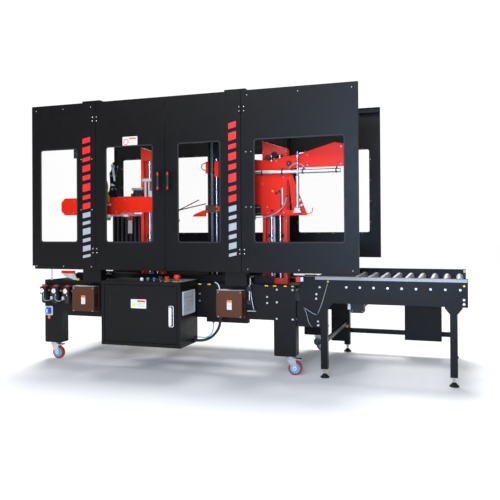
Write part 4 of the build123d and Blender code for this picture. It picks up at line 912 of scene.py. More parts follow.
def air_gauges():
    """Pressure gauges, regulator knobs, bowls, fittings, valves and link tubes of the air unit."""
    face_y, gauge_z = air.y0, 561
    faces = Piece("gauge_faces", WHITE_PLASTIC, 0)
    bezels = Piece("gauge_bezels", CHROME, 0.4)
    ticks = Piece("gauge_ticks", SEAL, 0)
    needles = Piece("gauge_needles", RED_PLASTIC, 0)
    rings = Piece("regulator_rings", RED_PLASTIC)
    knobs = Piece("regulator_knobs", BLACK_PLASTIC)
    bowls = Piece("bowl_guards", BLACK_PLASTIC, 0.4)
    fittings = Piece("brass_fittings", BRASS, 0.5)
    y = GIRDER_FRONT - 40
    for index, x in enumerate(GAUGE_X):
        faces.turned((x, face_y + 0.5, gauge_z), FRONT, [(16.6, 0), (16.6, 1.2)], 36)
        bezels.turned((x, face_y + 2, gauge_z), FRONT, [(16.2, 0), (20.2, 0), (20.2, 4.6), (17.6, 5.2),
                (16.4, 3)], 36, True)
        for step in range(9):
            angle = radians(-130 + 32.5 * step)
            near = (x + 11 * sin(angle), face_y - 0.9, gauge_z + 11 * cos(angle))
            far = (x + 14.6 * sin(angle), face_y - 0.9, gauge_z + 14.6 * cos(angle))
            ticks.bar(near, far, 0.55, 6)
        angle = radians(-50 + 36 * index)
        needles.bar((x - 4 * sin(angle), face_y - 1.6, gauge_z - 4 * cos(angle)),
                (x + 12 * sin(angle), face_y - 1.6, gauge_z + 12 * cos(angle)), 0.7, 6)
        needles.turned((x, face_y - 0.4, gauge_z), FRONT, [(2.4, 0), (2.4, 2)], 14)
        knob = [(20.6, 0), (20.6, 3)]
        for rib in range(6):
            knob += [(21, 3.5 + rib * 2), (20.2, 4.5 + rib * 2)]
        knobs.turned((x, y, 590), UP, knob + [(16, 15.5)], 28)
        rings.ring((x, y, 594), UP, 20, 22.4, 8, 28)
        for i in range(8):
            a = 2 * pi * i / 8
            px, py = x + 22.8 * cos(a), y + 22.8 * sin(a)
            bowls.bar((px, py, 470), (px, py, 530), 1.7, 8)
        bowls.turned((x, y, 462), UP, [(8, -7), (14, -2), (23.6, 4), (23.6, 11)], 24)
        fittings.turned((x + 32, y, gauge_z), RIGHT, [(7, 0), (7, 10), (9.5, 10.2), (9.5, 17)], 6)
        fittings.turned((x + 12, face_y + 6, 536), (0, -0.2, -1),
                [(4.5, 0), (6, 0.2), (6, 8), (4.2, 9), (4.2, 15)], 14)
    valve = Piece("valve_island", BLACK_PLASTIC, 1)
    valve.box(96, 130, GIRDER_FRONT - 34, GIRDER_FRONT, 470, 556)
    valve.box(204, 236, GIRDER_FRONT - 30, GIRDER_FRONT, 478, 556)
    coils = Piece("valve_coils", PALE_PLASTIC, 0.8)
    for x in (113, 220):
        coils.box(x - 9, x + 9, GIRDER_FRONT - 46, GIRDER_FRONT - 31, 488, 512)
    for index, x in enumerate((60, 171)):
        route = [(x, face_y + 3, 521), (x - 1, face_y, 508), (x + 6, face_y - 3, 492),
                (x + 22, face_y + 1, 480), (x + 40, face_y + 14, 478), (x + 52, face_y + 34, 488)]
        tube_cord("air_link_%d" % index, route, 2.4, SMOKE_TUBE)


def bed_front_trim():
    """Small fittings along the front girder: caps, bolts, sensor stand, brackets and the outfeed guide."""
    caps = Piece("girder_yellow_caps", YELLOW_PLASTIC)
    for x, half in ((1390, 12), (1465, 12), (1908, 13), (1970, 13), (2048, 11), (2101, 8)):
        caps.box(x - half, x + half, GIRDER_FRONT - 5, GIRDER_FRONT - 0.1, 632, 640)
    bolts = Piece("girder_bolts", STEEL, 0)
    for x, z in ((1386, 565), (1386, 512), (606, 590), (606, 440)):
        bolts.hex_bolt((x, GIRDER_FRONT, z), FRONT, 7)
    for side_z in (610, 402):
        for y in (GIRDER_FRONT + 22, GIRDER_FRONT + 62):
            bolts.hex_bolt((legs.x1, y, side_z), RIGHT, 7)
    Piece("sensor_rod", CHROME, 0.4).bar((1781, 118, 520), (1781, 118, 655), 5)
    Piece("sensor_rod_cap", WHITE_PLASTIC, 1).turned((1781, 118, 640), UP,
            [(10, 0), (12, 2), (12, 46), (9, 50)], 24)
    clamp = Piece("sensor_rod_clamp", BLACK_PLASTIC, 1.2)
    clamp.box(1764, 1798, 104, 130, 596, 628)
    clamp.box(1766, 1796, 106, 130, 500, 530)
    hook = Piece("strap_bracket", ZINC, 0.4)
    hook.wire([(1793, 119, 590), (1801, 112, 540), (1812, 108, 490), (1822, 100, 462)], 3.4)
    hook.box(1772, 1838, 92, 128, 452, 457)
    post = Piece("outfeed_thin_post", STEEL, 0.3)
    post.bar((84, 132, 640), (84, 132, 742), 4.5)
    post.turned((84, 132, 640), UP, [(9, 0), (9, 5)], 6)
    Piece("outfeed_guide_bar", RED, 1).box(172, 292, 136, 152, 694, 716)
    Piece("outfeed_guide_plate", ALUMINIUM).plate("Y", [(184, 694), (292, 694), (322, 646), (300, 641),
            (196, 672)], 139, 147)
    Piece("outfeed_guide_tip", YELLOW_PLASTIC, 0.8).box(322, 340, 132, 148, 640, 656)
    outer_lead = [(372, 122, 606), (374, 121, 630), (392, 118, 652), (424, 116, 662), (456, 118, 656),
                  (478, 121, 636), (482, 122, 606)]
    inner_lead = [(398, 112, 606), (400, 110, 626), (418, 108, 643), (440, 108, 644), (456, 110, 628),
                  (458, 112, 606)]
    for index, route in enumerate((outer_lead, inner_lead)):
        tube_cord("drive_lead_%d" % index, route, 3.4, CONDUIT)
    tube_cord("right_drive_lead", [(1512, 124, 652), (1524, 118, 650), (1540, 112, 640), (1552, 106, 626),
            (1556, 102, 606)], 4, WHITE_PLASTIC)
    Piece("infeed_stop_block", RED_PLASTIC, 1.2).box(2124, 2160, 132, 160, 668, 704)
    guide = Piece("infeed_guide_strip", ALUMINIUM)
    guide.box(2112, 2190, 124, 142, 716, 728)
    guide.box(2160, 2178, 128, 164, 672, 702)


def bed_inside():
    """Drive shaft, sprockets and pillow blocks under the slide decks, seen from the ends and from below."""
    shaft_x, shaft_z = 1300, 560
    Piece("cross_drive_shaft", SHAFT, 0.4).bar((shaft_x, GIRDER_FRONT + 62, shaft_z),
            (shaft_x, bed.y1 - 62, shaft_z), 12)
    hubs = Piece("drive_sprockets", STEEL, 0.5)
    for y in (300, 960):
        teeth = []
        for i in range(36):
            a = 2 * pi * i / 36
            r = 44 if i % 2 else 39
            teeth.append((shaft_x + r * cos(a), shaft_z + r * sin(a)))
        hubs.plate("Y", teeth, y, y + 9)
        hubs.turned((shaft_x, y - 14, shaft_z), REAR, [(22, 0), (22, 36)], 24)
    bearings = Piece("pillow_blocks", BLACK_PLASTIC, 1.5)
    for y in (GIRDER_FRONT + 64, bed.y1 - 92):
        bearings.plate("Y", [(1256, 536), (1344, 536), (1344, 548), (1324, 560), (1316, 580), (1300, 586),
                (1284, 580), (1276, 560), (1256, 548)], y, y + 28)


# ------------------------------------------------------------------ control cabinet

emergency = Span("emergency_stop")
start_button = Span("start_button")
BUTTON_Y = start_button.y
reset_button = Span("reset_button")
stop_button = Span("stop_button")
mode_selector = Span("mode_selector")


def cabinet_outside():
    """Label, latch bezel, key and inlay, rain fold, door gasket and side studs of the cabinet."""
    top = cabinet.z1
    face = cabinet_door.y1 - 20
    label_x, label_z = 1040, 513
    triangle = [(label_x - 52, label_z - 18), (label_x - 16, label_z - 18), (label_x - 34, label_z + 14)]
    plain_sticker("cabinet_label", "cabinet_door_body", label_x, label_z, 123, 64, face, RED_VINYL,
            (YELLOW_VINYL, triangle, None))
    bezel = Piece("latch_bezel", CHROME, body="cabinet_door_body")
    outer = rounded(latch.x - 19, latch.x + 19, latch.z0 - 12, latch.z1 + 10, 10)
    inner = rounded(latch.x - 14.2, latch.x + 14.2, latch.z0 - 7, latch.z1 + 5, 7)
    bezel.frame("Y", outer, inner, face - 7.6, face + 0.2)
    Piece("latch_key_barrel", CHROME, 0.3, "cabinet_door_body").turned((latch.x, face - 5.8, latch.z0 + 2),
            FRONT, [(5, 0), (5, 2.6), (3.2, 2.6), (3, 1)], 20)
    Piece("latch_lever_inlay", SEAL, 0.5, "latch").plate("Y", rounded(latch.x - 5, latch.x + 5, latch.z0 + 9,
            latch.z1 - 30, 4), latch.y0 + 0.1, latch.y0 + 2)
    fold = Piece("cabinet_rain_fold", BLACK, 1)
    fold.box(cabinet.x0, cabinet.x1, face, face + 12, top - 0.2, top + 2.4)
    fold.box(cabinet.x0, cabinet.x0 + 12, face + 12, GIRDER_FRONT - 4, top - 0.2, top + 2.4)
    gap_seal = Piece("cabinet_door_gasket", SEAL)
    margin = 24
    outer = rounded(cabinet.x0 + margin + 0.2, cabinet.x1 - margin - 0.2, cabinet.z0 + margin + 0.2,
            cabinet.z1 - margin - 0.2, 3)
    inner = rounded(cabinet.x0 + margin + 9, cabinet.x1 - margin - 9, cabinet.z0 + margin + 9,
            cabinet.z1 - margin - 9, 3)
    gap_seal.frame("Y", outer, inner, face + 20.6, face + 24)
    studs = Piece("cabinet_side_studs", STEEL, 0)
    for y in (face + 60, GIRDER_FRONT - 50):
        studs.dome_screw((cabinet.x0, y, top - 40), (-1, 0, 0), 5)
        studs.dome_screw((cabinet.x0, y, cabinet.z0 + 40), (-1, 0, 0), 5)


def cabinet_controls():
    """Control plate with bezels, a white lamp and the yellow rings under the two stop buttons."""
    top = cabinet.z1
    plate = Piece("control_plate", BLACK, 0.8)
    pitch = stop_button.x - mode_selector.x
    lamp_x = start_button.x - pitch
    hole = 8.6
    centres = [start_button.x, reset_button.x, mode_selector.x, stop_button.x]
    for x in centres + [lamp_x]:
        plate.ring((x, BUTTON_Y, top), UP, hole, 18, 3, 32)
    rings = Piece("button_bezels", CHROME, 0.4)
    for x in centres:
        rings.turned((x, BUTTON_Y, top + 3), UP, [(hole, 0), (14.6, 0), (14.6, 3.4), (12.8, 4.6),
                (hole, 4.6)], 32, True)
    Piece("power_lamp", WHITE_PLASTIC, 0.5).turned((lamp_x, BUTTON_Y, top + 2), UP,
            [(13, 0), (13, 12), (12, 18), (8, 22), (3, 23.5)], 32)
    yellow = Piece("stop_plates", YELLOW_PLASTIC)
    yellow.ring((stop_button.x, BUTTON_Y, top + 0.1), UP, hole, 24, 2.4, 36)
    yellow.ring((emergency.x, BUTTON_Y, top + 0.1), UP, hole, 36, 3.4, 40)
    Piece("emergency_collar", BLACK_PLASTIC).turned((emergency.x, BUTTON_Y, top + 3.4), UP,
            [(hole + 0.4, 0), (16, 0), (16, 3), (14.6, 6.2), (hole + 0.4, 6.2)], 32, True)
    ribs = Piece("emergency_grip_ribs", RED_PLASTIC, 0.3, "emergency")
    for i in range(18):
        a = 2 * pi * i / 18
        cx, cy = emergency.x + 21.9 * cos(a), BUTTON_Y + 21.9 * sin(a)
        ribs.bar((cx, cy, emergency.z1 - 21), (cx, cy, emergency.z1 - 9), 1, 6)
    ribs.ring((emergency.x, BUTTON_Y, emergency.z1 - 0.4), UP, 13, 15, 0.38, 36)
    Piece("stop_button_mushroom", RED_PLASTIC, 1, "stop").turned((stop_button.x, BUTTON_Y,
            stop_button.z1 - 3), UP, [(12.2, 0), (17.5, 2), (18.5, 7), (17, 10), (12, 12.5), (4, 13.4)], 36)
    Piece("selector_pointer", WHITE_PLASTIC, 0.3, "selector").box(mode_selector.x - 12, mode_selector.x - 4,
            BUTTON_Y - 1.2, BUTTON_Y + 1.2, mode_selector.z1 - 0.4, mode_selector.z1 + 0.6)


def vent_filter():
    """Slanted louvre blades, frame bead and filter mat of the side grille."""
    rim = Piece("vent_rim", PALE_PLASTIC, 1.2)
    outer = rounded(vent.y0 - 5, vent.y1 + 5, vent.z0 - 5, vent.z1 + 5, 7)
    inner = rounded(vent.y0 + 10, vent.y1 - 10, vent.z0 + 10, vent.z1 - 10, 4)
    rim.frame("X", outer, inner, vent.x1 - 6.5, vent.x1 + 2)
    blades = Piece("vent_blades", PALE_PLASTIC, 0.4)
    count = 16
    for i in range(count):
        z = vent.z0 + 13 + (vent.z1 - vent.z0 - 26) * i / (count - 1)
        blades.plate("Y", [(vent.x0 + 3, z + 1.5), (vent.x1 + 0.6, z - 3.4), (vent.x1 + 0.6, z - 1.6),
                (vent.x0 + 3, z + 3.4)], vent.y0 + 8, vent.y1 - 8)
    Piece("vent_filter_mat", SEAL, 0).box(vent.x0 + 0.2, vent.x0 + 1.6, vent.y0 + 9, vent.y1 - 9,
            vent.z0 + 9, vent.z1 - 9)


def cabinet_inside():
    """Mounting plate with ducts, rails, contactors, drives and terminals, and the back of the door."""
    back = GIRDER_FRONT - 8
    x0, x1 = cabinet.x0 + 30, cabinet.x1 - 30
    z0, z1 = cabinet.z0 + 24, cabinet.z1 - 30
    Piece("mounting_plate", ZINC, 0.8).box(x0, x1, back - 3, back, z0, z1)
    ducts = Piece("wire_ducts", PALE_PLASTIC)
    duct_rows = (z0 + 14, z0 + 152, z0 + 290, z1 - 40)
    for z in duct_rows:
        ducts.box(x0 + 8, x1 - 8, back - 40, back - 3, z, z + 24)
    for x in (x0 + 8, x1 - 32):
        ducts.box(x, x + 24, back - 40, back - 3, z0 + 38, z1 - 40)
    slots = Piece("duct_slots", SEAL, 0)
    for z in duct_rows:
        for i in range(46):
            x = x0 + 18 + i * 11.4
            slots.box(x, x + 3, back - 40.4, back - 39.8, z + 3, z + 17)
    rails = Piece("mounting_rails", ZINC, 0.3)
    for z in (z0 + 92, z0 + 228, z0 + 350):
        rails.box(x0 + 38, x1 - 38, back - 10, back - 3, z - 17, z + 17)
    dark = Piece("contactors", BLACK_PLASTIC, 1)
    pale = Piece("breakers", PALE_PLASTIC, 1)
    marks = Piece("breaker_levers", BLUE_PLASTIC, 0.4)
    screws = Piece("terminal_screws", STEEL, 0)
    for i in range(6):
        x = x0 + 52 + i * 46
        dark.box(x, x + 42, back - 86, back - 10, z0 + 192, z0 + 268)
        dark.box(x + 6, x + 36, back - 96, back - 85, z0 + 208, z0 + 252)
        for dx in (8, 21, 34):
            screws.dome_screw((x + dx, back - 86, z0 + 200), FRONT, 3.2)
            screws.dome_screw((x + dx, back - 86, z0 + 260), FRONT, 3.2)
    for i in range(9):
        x = x0 + 46 + i * 19
        pale.box(x, x + 17.6, back - 76, back - 10, z0 + 314, z0 + 386)
        marks.box(x + 5, x + 12.6, back - 84, back - 75, z0 + 344, z0 + 358)
    pale.box(x0 + 330, x0 + 420, back - 128, back - 6, z0 + 190, z0 + 282)
    dark.box(x0 + 338, x0 + 412, back - 129, back - 127, z0 + 240, z0 + 274)
    pale.box(x0 + 436, x0 + 516, back - 118, back - 6, z0 + 176, z0 + 284)
    dark.box(x0 + 250, x0 + 400, back - 92, back - 8, z0 + 312, z0 + 384)
    for i in range(34):
        x = x0 + 50 + i * 13
        (pale if i % 8 else marks).box(x, x + 12, back - 52, back - 10, z0 + 66, z0 + 118)
        screws.dome_screw((x + 6, back - 52, z0 + 74), FRONT, 2.8)
        screws.dome_screw((x + 6, back - 52, z0 + 110), FRONT, 2.8)
    pocket = Piece("document_pocket", PALE_PLASTIC, 1, "cabinet_door_body")
    back_face = cabinet_door.y1 - 17
    pocket.box(cabinet_door.x0 + 120, cabinet_door.x0 + 350, back_face + 0.1, back_face + 12,
            cabinet_door.z0 + 70, cabinet_door.z0 + 200)
    stiff = Piece("cabinet_door_stiffeners", BLACK, 0.8, "cabinet_door_body")
    for x in (cabinet_door.x0 + 60, latch.x - 60):
        stiff.box(x, x + 22, back_face + 0.1, back_face + 14, cabinet_door.z0 + 30, cabinet_door.z1 - 30)
    Piece("latch_cam", ZINC, body="cabinet_door_body").box(latch.x - 10, latch.x + 26, back_face + 4,
            back_face + 8, latch.z1 - 28, latch.z1 - 6)


# ------------------------------------------------------------------ castors

def castor_details(place):
    """Hub, hub caps, tread line, axle nuts, swivel race, brake pedal and top plate of one castor."""
    fork = Span("castor_fork_" + place)
    wheel = Span("castor_wheel_" + place)
    fork_body, wheel_body = "castor_" + place, "wheel_" + place
    x, y, z = wheel.x, wheel.y, wheel.z
    hub = Piece("hub_" + place, HUB_BLUE, 0.5, wheel_body)
    for side in (-1, 1):
        out = (0, side, 0)
        face = y + side * 15.6
        hub.turned((x, face, z), out, [(13.2, 0), (36, 0), (36, 1.2), (31, 1.8), (28, 0.8), (19, 0.8),
                (16, 2), (13.2, 2.2)], 40, True)
    for i in range(6):
        a = 2 * pi * i / 6
        for side in (-1, 1):
            cx, cz = x + 23.5 * cos(a), z + 23.5 * sin(a)
            hub.turned((cx, y + side * 14, cz), (0, side, 0), [(4.2, 0), (4.2, 3.2)], 14)
    centre = Piece("hub_cap_" + place, WHITE_PLASTIC, 0.4, fork_body)
    for side in (-1, 1):
        centre.turned((x, y + side * 24.8, z), (0, side, 0), [(9, 0), (16, 0), (15, 3), (9, 4.2)], 28, True)
    tread = Piece("tread_line_" + place, SEAL, 0, wheel_body)
    for side in (-1, 1):
        tread.ring((x, y + side * 15.8, z), (0, side, 0), 36.4, 38, 0.7, 40)
    bolts = Piece("castor_bolts_" + place, ZINC, 0, fork_body)
    for side in (-1, 1):
        bolts.hex_bolt((x, y + side * 25, z), (0, side, 0), 7.4)
    swivel_x = fork.x0 + 34
    Piece("swivel_race_" + place, ZINC, 0.5, fork_body).turned((swivel_x, y, fork.z1 - 19), UP,
            [(20, -1), (30, 1), (35.2, 5), (35.2, 8), (31, 11), (31, 13)], 36)
    pedal = Piece("brake_pedal_" + place, BLACK_PLASTIC, 1.2, fork_body)
    px = fork.x1
    pedal.plate("Y", [(px - 32, fork.z1 - 25), (px - 4, fork.z1 - 22), (px - 0.2, fork.z1 - 17),
            (px - 3, fork.z1 - 13.5), (px - 32, fork.z1 - 17)], y - 19, y + 19)
    Piece("castor_plate_" + place, ZINC).box(swivel_x - 44, swivel_x + 44, y - 36, y + 36, fork.z1 + 0.35,
            fork.z1 + 4)


# ------------------------------------------------------------------ roller conveyor

conveyor = Span("conveyor_frame")
RAIL_FRONT = 138
RAIL_REAR = rear_panels.y1 - RAIL_FRONT
ROLLER_COUNT = sum(1 for name in nodes if name.startswith("conveyor_roller_"))
SUPPORT_X = (2323, 3185)
FOOT_INSET = 22


def conveyor_trim():
    """Wear strip, marks, bolts, end bracket and latch, handwheel and stretcher of the roller conveyor."""
    top = conveyor.z1
    Piece("rail_wear_strip", SLATE_PLASTIC, 0.8).box(2262, conveyor.x1 - 3, RAIL_FRONT - 2.2,
            RAIL_FRONT + 0.2, top - 22, top - 1)
    dots = Piece("rail_marks", YELLOW_VINYL, 0)
    for x, z in ((2353, 673), (3251, 664)):
        dots.turned((x, RAIL_FRONT, z), FRONT, [(7, -0.1), (7, 0.5)], 20)
    bolts = Piece("dock_bolts", STEEL, 0)
    for x, z in ((2294, 634), (2271, 584), (2269, 553), (2281, 394), (2281, 366)):
        bolts.hex_bolt((x, RAIL_FRONT, z), FRONT, 6.5)
    for x in SUPPORT_X:
        for dx in (-36, 36):
            bolts.dome_screw((x + dx, RAIL_FRONT, conveyor.z0 + 18), FRONT, 4.5)
    for z in (545, 573):
        bolts.turned((3250, RAIL_FRONT, z), FRONT, [(4.6, -0.1), (8.6, 0), (8.6, 1.4), (4.6, 1.6)], 24, True)
    Piece("rail_end_bracket", PALE_PLASTIC, 1).box(3256, 3274, RAIL_REAR - 30, RAIL_REAR - 8, top - 26,
            top - 0.4)
    Piece("rail_end_latch", BLACK_PLASTIC, 1.2).box(3252, 3272, RAIL_REAR - 34, RAIL_REAR - 6, top - 66,
            top - 32)
    wheel = Piece("dock_handwheel", BLACK_PLASTIC, 1)
    wheel.turned((2270, 176, 247), FRONT, [(8, 0), (25, 2), (27, 8), (25, 15), (16, 17), (12, 24), (6, 27)],
            36)
    wheel.box(2262, 2300, 176, 184, 237, 257)
    Piece("cross_stretcher", BLACK, 1.2).box(SUPPORT_X[0] - 9, SUPPORT_X[0] + 9, RAIL_FRONT + 44,
            RAIL_REAR - 44, 236, 266)
    Piece("stretcher_knob", ORANGE_PLASTIC, 1).turned((2330, 1051.5, 226), FRONT,
            [(12, -2), (14, 4), (14, 12), (10, 15)], 24)


def roller_details():
    """Bearing caps in the rollers, and a dark ring round each roller's end on the inner face of each rail."""
    # Flat dark rings round the roller ends on both rails, drawn in the dark seal finish.
    rings = Piece("roller_rail_rings", SEAL, 0)
    for number in range(1, ROLLER_COUNT + 1):
        roller = Span("conveyor_roller_%d" % number)
        caps = Piece("roller_caps_%d" % number, BLACK_PLASTIC, 0.4, "roller_%d" % number)
        for y, out in ((roller.y0, -1), (roller.y1, 1)):
            caps.turned((roller.x, y - out * 9, roller.z), (0, out, 0),
                    [(6.6, 0), (22.6, 0), (22.6, 7.4), (19, 9), (13, 8), (6.6, 7.4)], 32, True)
        for y, out in ((RAIL_FRONT + 3.4, 1), (RAIL_REAR - 3.4, -1)):
            rings.ring((roller.x, y, roller.z), (0, out, 0), 29, 36, 6, 36)


def conveyor_drive():
    """Motor fins, fan cover, connection box, gearbox screws and plate of the roller drive."""
    motor = Span("conveyor_gearmotor")
    axis_x, axis_z, radius = motor.x, 466, 44
    fins = Piece("motor_fins", BLACK, 0)
    for i in range(11):
        y = 672 + i * 10
        fins.ring((axis_x, y, axis_z), REAR, radius - 1, radius + 7, 3, 40)
    Piece("motor_fan_cover", BLACK_PLASTIC, 1).turned((axis_x, motor.y1 - 44, axis_z), REAR,
            [(radius - 1, 0), (radius + 6, 0), (radius + 6, 36), (radius - 6, 46), (12, 47)], 40)
    Piece("motor_connection_box", BLACK_PLASTIC, 2).box(axis_x - 26, axis_x + 26, 700, 760, axis_z - 72,
            axis_z - 40)
    screws = Piece("gearbox_screws", STEEL, 0)
    for x in (motor.x0 + 12, motor.x1 - 12):
        for z in (motor.z0 + 14, motor.z0 + 96):
            screws.dome_screw((x, motor.y0, z), FRONT, 3.6)
    Piece("gearbox_plate", ALUMINIUM, 0.3).box(motor.x0 - 22, motor.x0 + 0.2, motor.y0 + 4, motor.y0 + 10,
            430, 492)


def foot_pads():
    """Rubber shoes over the cone pads of the levelling feet, and lock nuts on the stems."""
    shoes = Piece("foot_shoes", SEAL, 0.8)
    nuts = Piece("foot_lock_nuts", STEEL, 0)
    for x in SUPPORT_X:
        for y in (RAIL_FRONT + FOOT_INSET, RAIL_REAR - FOOT_INSET):
            shoes.turned((x, y, 0.2), UP, [(29, 0), (31.4, 1.5), (31.4, 8.4), (27.2, 10), (11.6, 27.2),
                    (8.4, 29.4)], 40)
            nuts.turned((x, y, 41), UP, [(8, 0), (12.6, 0.6), (12.6, 6.4), (8, 7)], 6, True)


def dock_cables():
    """Three thin grey sensor cables on the dock plate, with a clip at each end."""
    routes = ([(2352, 131, 664), (2347, 131, 644), (2333, 130, 594), (2312, 129, 526), (2292, 130, 472),
               (2280, 131, 446)],
              [(2181, 131, 488), (2198, 130, 480), (2226, 129, 462), (2250, 130, 448), (2274, 131, 440)],
              [(2184, 131, 480), (2196, 130, 464), (2206, 129, 430), (2213, 129, 396), (2226, 130, 366),
               (2238, 131, 356)])
    clips = Piece("dock_cable_clips", BLACK_PLASTIC)
    for index, route in enumerate(routes):
        tube_cord("dock_cable_%d" % index, route, 1.7, SMOKE_TUBE)
        for x, y, z in (route[0], route[-1]):
            clips.box(x - 5, x + 5, y - 3, RAIL_FRONT + 0.2, z - 5, z + 5)


# ------------------------------------------------------------------ masts and heads

masts = Span("head_masts")
fold = Span("folder_carriage")
beam = Span("taping_carriage")
MAST_FACE = masts.y0
MAST_HALF = 93.5
MAST_CENTRES = (masts.x0 + MAST_HALF, masts.x1 - MAST_HALF)
ROD_Y = MAST_FACE + 32
ROD_SPREAD = 33.5
FOLD_FACE = 205
ARM_FACE = fold.y0
BEAM_FACE = beam.y0


def mast_finish():
    """Red paint with the two ground rods of each mast picked out as bright steel."""
    g = Graph("mast_paint_and_rods", "red_paint")
    parts = g.add("SeparateXYZ", Vector=g.where).outputs
    y_off = g.add("Math", {"operation": "SUBTRACT"}, _0=parts["Y"], _1=at(0.0, ROD_Y, 0.0).y).outputs[0]
    y_square = g.times(y_off, y_off)
    nearest = None
    for centre in MAST_CENTRES:
        for side in (-1, 1):
            rod_x = at(centre + side * ROD_SPREAD, 0.0, 0.0).x
            x_off = g.add("Math", {"operation": "SUBTRACT"}, _0=parts["X"], _1=rod_x).outputs[0]
            square = g.add("Math", {"operation": "ADD"}, _0=g.times(x_off, x_off), _1=y_square).outputs[0]
            if nearest is None:
                nearest = square
            else:
                nearest = g.add("Math", {"operation": "MINIMUM"}, _0=nearest, _1=square).outputs[0]
    rod = g.add("Math", {"operation": "LESS_THAN"}, _0=nearest, _1=0.0118 ** 2).outputs[0]
    rounded_edge, edge = g.soft_edges(0.0012)
    broad = g.noise(2.6, 4.0)
    marks = g.noise(17.0, 6.0)
    peel = g.noise(620.0, 2.0)
    paint = g.tint(broad, (0.86, 0.031, 0.006), (0.95, 0.037, 0.007))
    bare = g.tint(marks, (0.56, 0.57, 0.59), (0.72, 0.73, 0.75))
    scuff = g.times(edge, g.between(marks, 0.1, 0.6))
    painted = g.blend(scuff, paint, (0.95, 0.16, 0.08, 1.0))
    g.finish(Base_Color=g.blend(rod, painted, bare), Metallic=rod,
             Roughness=g.between(rod, 0.38, 0.20, 0.0, 1.0), Normal=g.bump(peel, 0.08, 0.0003, rounded_edge))
    for slot in nodes["head_masts"].material_slots:
        slot.material = g.material


def mast_details():
    """Back strips, guide strips, rod supports, screws and sloping top trims of both masts."""
    back = Piece("mast_back_strips", BLACK)
    guide = Piece("mast_guide_strips", ALUMINIUM, 0.4)
    support = Piece("mast_rod_supports", BLACK, 0.8)
    screws = Piece("mast_bolts", STEEL, 0)
    for centre in MAST_CENTRES:
        back.box(centre - 12, centre + 29, 304.5, 311.8, 684, 1586)
        guide.box(centre - 26, centre - 14, 303, 311.8, 684, 1586)
        support.box(centre - 82, centre + 82, 304, 311.9, 984, 1004)
        for side in (-1, 1):
            screws.hex_bolt((centre + side * 76, 304, 994), FRONT, 6)
            for z in (700, 1100, 1500, 1612):
                screws.dome_screw((centre + side * 87, MAST_FACE, z), FRONT, 4)
        rise = 62
        top_edge = Piece("mast_top_trim_%d" % round(centre), ALUMINIUM, 0.5)
        x0, x1 = centre - MAST_HALF, centre + MAST_HALF
        top_edge.plate("Y", [(x0, masts.z1 - 1), (x1, masts.z1 - rise - 1), (x1, masts.z1 - rise - 0.1),
                (x0, masts.z1 - 0.1)], MAST_FACE - 2, MAST_FACE + 8)
    Piece("mast_eye_shadow", SEAL, 0).turned((MAST_CENTRES[1], MAST_FACE - 0.3, 1590), REAR,
            [(24, 0), (24, 0.5)], 32)


def guide_column():
    """Lifting chain, bright rod and brackets on the third upright, and the folding head's slider on it."""
    x0, x1, y0, y1 = 1402, 1495, 262, 320
    foot = Piece("chain_column_bolts", STEEL, 0)
    for x in (x0 - 10, x1 + 10):
        for y in (y0, y1 - 10):
            foot.hex_bolt((x, y, bed.z0 + 250), UP, 6)
    links = Piece("lifting_chain", STEEL, 0)
    chain_x, chain_y = x0 + 30, y0 + 14
    pitch = 19.05
    count = int((1790 - 690) / pitch)
    for i in range(count):
        z = 690 + i * pitch
        wide = 4.6 if i % 2 else 7.4
        for side in (-1, 1):
            xs = sorted((chain_x + side * wide, chain_x + side * (wide - 1.6)))
            links.box(*xs, chain_y - 5, chain_y + 5, z - 3.4, z + pitch + 3.4)
        links.bar((chain_x - 8.6, chain_y, z), (chain_x + 8.6, chain_y, z), 2.6, 8)
    Piece("chain_column_rod", SHAFT, 0).bar((1478, y0 - 8, 688), (1478, y0 - 8, 1580), 5, 20)
    ends = Piece("chain_rod_brackets", RED, 0.8)
    ends.box(1466, 1495, y0 - 18, y0 + 2, 1440, 1562)
    ends.box(x0 - 10, x0 + 8, y0 - 18, y0 + 2, 1470, 1560)
    ends.box(1466, 1490, y0 - 16, y0 + 2, 668, 690)
    tube_cord("column_cable", [(1396, y0 - 12, 1548), (1376, y0 - 12, 1549), (1358, y0 - 12, 1536),
            (1357, y0 - 12, 1512), (1373, y0 - 12, 1496), (1396, y0 - 12, 1492)], 3.4, CONDUIT)
    Piece("column_slider", BRONZE, 1.2, "folding_head").box(x0 - 6, x1 + 6, y0 - 34, y0 - 19, 1168, 1227)
    Piece("column_link", RED, 1, "folding_head").box(x1 + 5, 1790, 214, 234, 1178, 1216)
    Piece("fold_blade", RED, 1, "folding_head").plate("Y", [(1286, 1141), (1400, 1141), (1400, 1190),
            (1380, 1190), (1300, 1158)], y0 - 30, y0 - 24)
    rails = Piece("fold_rods", BRONZE, 0, "folding_head")
    rails.bar((1168, y0 - 27, 1192), (1340, y0 - 27, 1268), 4, 14)
    rails.bar((1168, y0 - 27, 1192), (1398, y0 - 27, 1238), 4, 14)
    rails.turned((1160, y0 - 27, 1190), RIGHT, [(2, 0), (7, 2), (7, 14), (2, 16)], 16)
    screws = Piece("slider_screws", STEEL, 0, "folding_head")
    for x in (x0 + 8, x1 - 8):
        for z in (1182, 1213):
            screws.cap_screw((x, y0 - 34, z), FRONT, 4.5)


